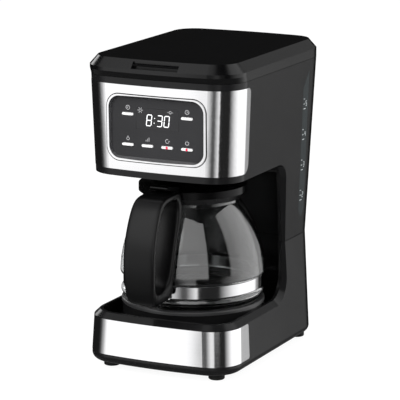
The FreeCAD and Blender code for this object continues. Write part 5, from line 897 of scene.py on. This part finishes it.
def reflected_studio(tree, place, split, level):
    """Light that glossy surfaces see: rows of upright panels, the floor below and round lamps."""
    rise = split.outputs["Z"]
    forward = combined(tree, "MULTIPLY", split.outputs["Y"], -1)
    turn = combined(tree, "ARCTAN2", split.outputs["X"], forward)
    share = combined(tree, "ADD", combined(tree, "DIVIDE", turn, 2 * math.pi), 0.5)
    panels = upright_panels(tree, share, LOW_PANELS)
    for stops, (start, end) in HIGHER_ROWS:
        height = faded(tree, rise, start, end, 0.0, 1.0)
        panels = mixed(tree, height, panels, upright_panels(tree, share, stops))
    light = combined(tree, "MULTIPLY", panels, level)
    for start, end, low, high in (PANEL_FOOT + (0.0, 1.0), PANEL_HEAD + (1.0, 0.0)):
        light = combined(tree, "MULTIPLY", light, faded(tree, rise, start, end, low, high))
    floor = faded(tree, rise, FLOOR_REACH[0], FLOOR_REACH[1], FLOOR_TONE, 0.0)
    light = combined(tree, "ADD", light, floor)
    for azimuth, elevation, spread, tone in LAMPS:
        near = tree.nodes.new("ShaderNodeVectorMath")
        near.operation = "DOT_PRODUCT"
        near.inputs[1].default_value = toward(math.radians(azimuth), math.radians(elevation))
        tree.links.new(place, near.inputs[0])
        edge = math.cos(math.radians(spread))
        core = math.cos(math.radians(spread * LAMP_CORE))
        light = combined(tree, "ADD", light, faded(tree, near.outputs["Value"], edge, core, 0.0, tone))
    return light


def studio_world(ambient, level):
    """White to the camera, soft light all round, and the studio's panels and lamps in reflections."""
    world = bpy.data.worlds.new("studio")
    world.use_nodes = True
    tree = world.node_tree
    nodes, links = tree.nodes, tree.links
    nodes.clear()
    path = nodes.new("ShaderNodeLightPath")
    passed = path.outputs["Is Transmission Ray"]
    unbent = combined(tree, "LESS_THAN", path.outputs["Glossy Depth"], 0.5)
    through = combined(tree, "MULTIPLY", passed, unbent)
    seen = combined(tree, "MAXIMUM", path.outputs["Is Camera Ray"], through)
    bounced = combined(tree, "MULTIPLY", passed, combined(tree, "SUBTRACT", 1, unbent))
    shiny = combined(tree, "MAXIMUM", path.outputs["Is Glossy Ray"], bounced)
    place = nodes.new("ShaderNodeTexCoord").outputs["Generated"]
    split = nodes.new("ShaderNodeSeparateXYZ")
    links.new(place, split.inputs["Vector"])
    backdrop = faded(tree, split.outputs["Y"], 0.0, BACKDROP_FULL, 0.0, BACKDROP)
    behind = combined(tree, "MULTIPLY", bounced, backdrop)
    kept = combined(tree, "SUBTRACT", 1, combined(tree, "MULTIPLY", bounced, 1 - INNER_SHARE))
    studio = combined(tree, "MULTIPLY", reflected_studio(tree, place, split, level), kept)
    glossy = mixed(tree, shiny, ambient, combined(tree, "MAXIMUM", studio, behind))
    back = nodes.new("ShaderNodeBackground")
    back.inputs["Color"].default_value = (1, 1, 1, 1)
    links.new(mixed(tree, seen, glossy, 1.0), back.inputs["Strength"])
    out = nodes.new("ShaderNodeOutputWorld")
    links.new(back.outputs["Background"], out.inputs["Surface"])
    return world


def floor_material(colour, glow):
    """Pale floor: white to the camera, with a soft shadow, and open to reflections."""
    material = bpy.data.materials.new("pale_floor")
    material.use_nodes = True
    tree = material.node_tree
    nodes, links = tree.nodes, tree.links
    nodes.clear()
    diffuse = nodes.new("ShaderNodeBsdfDiffuse")
    diffuse.inputs["Color"].default_value = list(colour) + [1]
    bright = nodes.new("ShaderNodeEmission")
    bright.inputs["Color"].default_value = (1, 1, 1, 1)
    bright.inputs["Strength"].default_value = glow
    path = nodes.new("ShaderNodeLightPath")
    seen = combined(tree, "MULTIPLY", path.outputs["Is Camera Ray"], FLOOR_WHITE)
    pale = nodes.new("ShaderNodeMixShader")
    links.new(seen, pale.inputs["Fac"])
    links.new(diffuse.outputs["BSDF"], pale.inputs[1])
    links.new(bright.outputs["Emission"], pale.inputs[2])
    open_air = nodes.new("ShaderNodeBsdfTransparent")
    bent = combined(tree, "MAXIMUM", path.outputs["Is Glossy Ray"], path.outputs["Is Transmission Ray"])
    look = nodes.new("ShaderNodeMixShader")
    links.new(bent, look.inputs["Fac"])
    links.new(pale.outputs["Shader"], look.inputs[1])
    links.new(open_air.outputs["BSDF"], look.inputs[2])
    out = nodes.new("ShaderNodeOutputMaterial")
    links.new(look.outputs["Shader"], out.inputs["Surface"])
    return material


def soft_box(name, place, size, power):
    """A rectangular lamp that lights the object but stays out of its reflections."""
    data = bpy.data.lights.new(name, "AREA")
    data.shape = "RECTANGLE"
    data.size, data.size_y = size
    data.energy = power
    obj = bpy.data.objects.new(name, data)
    bpy.context.scene.collection.objects.link(obj)
    obj.location = place
    obj.rotation_euler = (LAMP_AIM - Vector(place)).to_track_quat("-Z", "Y").to_euler()
    obj.visible_glossy = False
    obj.visible_transmission = False


class COFFEE_OT_stage(Operator):
    """Sets the camera, floor, lamps and studio"""

    bl_idname = "coffee.stage"
    bl_label = "Stage"

    def execute(self, context):
        stage = context.scene.coffee_stage
        scene = context.scene
        scene.view_settings.view_transform = "Standard"
        scene.world = studio_world(stage.ambient, stage.panels)
        bpy.ops.mesh.primitive_grid_add(
            x_subdivisions=FLOOR_CELLS, y_subdivisions=FLOOR_CELLS, size=FLOOR_SIZE, location=(0, 0, 0))
        floor = context.active_object
        floor.name = "floor"
        floor.data.materials.append(floor_material(stage.floor, stage.glow))
        for name, place, size, power in SOFT_BOXES:
            soft_box(name, place, size, power)
        right = Vector((math.cos(stage.azimuth), math.sin(stage.azimuth), 0))
        back = toward(stage.azimuth, stage.elevation)
        up = back.cross(right)
        middle_y = middle(*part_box("lid_shell"), 1)
        target = Vector((0, middle_y, stage.target)) + right * stage.slide + up * stage.lift
        lens = bpy.data.cameras.new("camera")
        lens.lens = stage.lens
        lens.sensor_width = SENSOR_WIDTH
        lens.clip_end = CLIP_END
        camera = bpy.data.objects.new("camera", lens)
        scene.collection.objects.link(camera)
        turned = Matrix((right, up, back)).transposed().to_4x4()
        camera.matrix_world = Matrix.Translation(target + back * stage.distance) @ turned
        scene.camera = camera
        return {"FINISHED"}


class COFFEE_PT_looks(Panel):
    """Lists the steps that dress the coffee maker and their values"""

    bl_idname = "COFFEE_PT_looks"
    bl_label = "Coffee Maker"
    bl_space_type = "VIEW_3D"
    bl_region_type = "UI"
    bl_category = "Coffee Maker"

    def draw(self, context):
        for step in STEPS:
            self.layout.operator(step)
        for group in ("coffee_finish", "coffee_marks", "coffee_stage"):
            values = getattr(context.scene, group)
            box = self.layout.box()
            for name in values.__annotations__:
                box.prop(values, name)


STEPS = (
    "coffee.stage", "coffee.case", "coffee.seal", "coffee.lid", "coffee.panel", "coffee.display",
    "coffee.symbols", "coffee.gauge", "coffee.carafe", "coffee.inside",
)
CLASSES = (
    CoffeeFinish, CoffeeMarks, CoffeeStage, COFFEE_OT_case, COFFEE_OT_gap_shadow, COFFEE_OT_lid,
    COFFEE_OT_panel, COFFEE_OT_display, COFFEE_OT_symbols, COFFEE_OT_gauge, COFFEE_OT_carafe,
    COFFEE_OT_inside, COFFEE_OT_stage, COFFEE_PT_looks,
)


def register():
    for cls in CLASSES:
        bpy.utils.register_class(cls)
    bpy.types.Scene.coffee_finish = PointerProperty(type=CoffeeFinish)
    bpy.types.Scene.coffee_marks = PointerProperty(type=CoffeeMarks)
    bpy.types.Scene.coffee_stage = PointerProperty(type=CoffeeStage)


def unregister():
    del bpy.types.Scene.coffee_stage
    del bpy.types.Scene.coffee_marks
    del bpy.types.Scene.coffee_finish
    for cls in reversed(CLASSES):
        bpy.utils.unregister_class(cls)


def main():
    register()
    for step in STEPS:
        group, name = step.split(".")
        getattr(getattr(bpy.ops, group), name)()


if __name__ == "__main__":
    main()
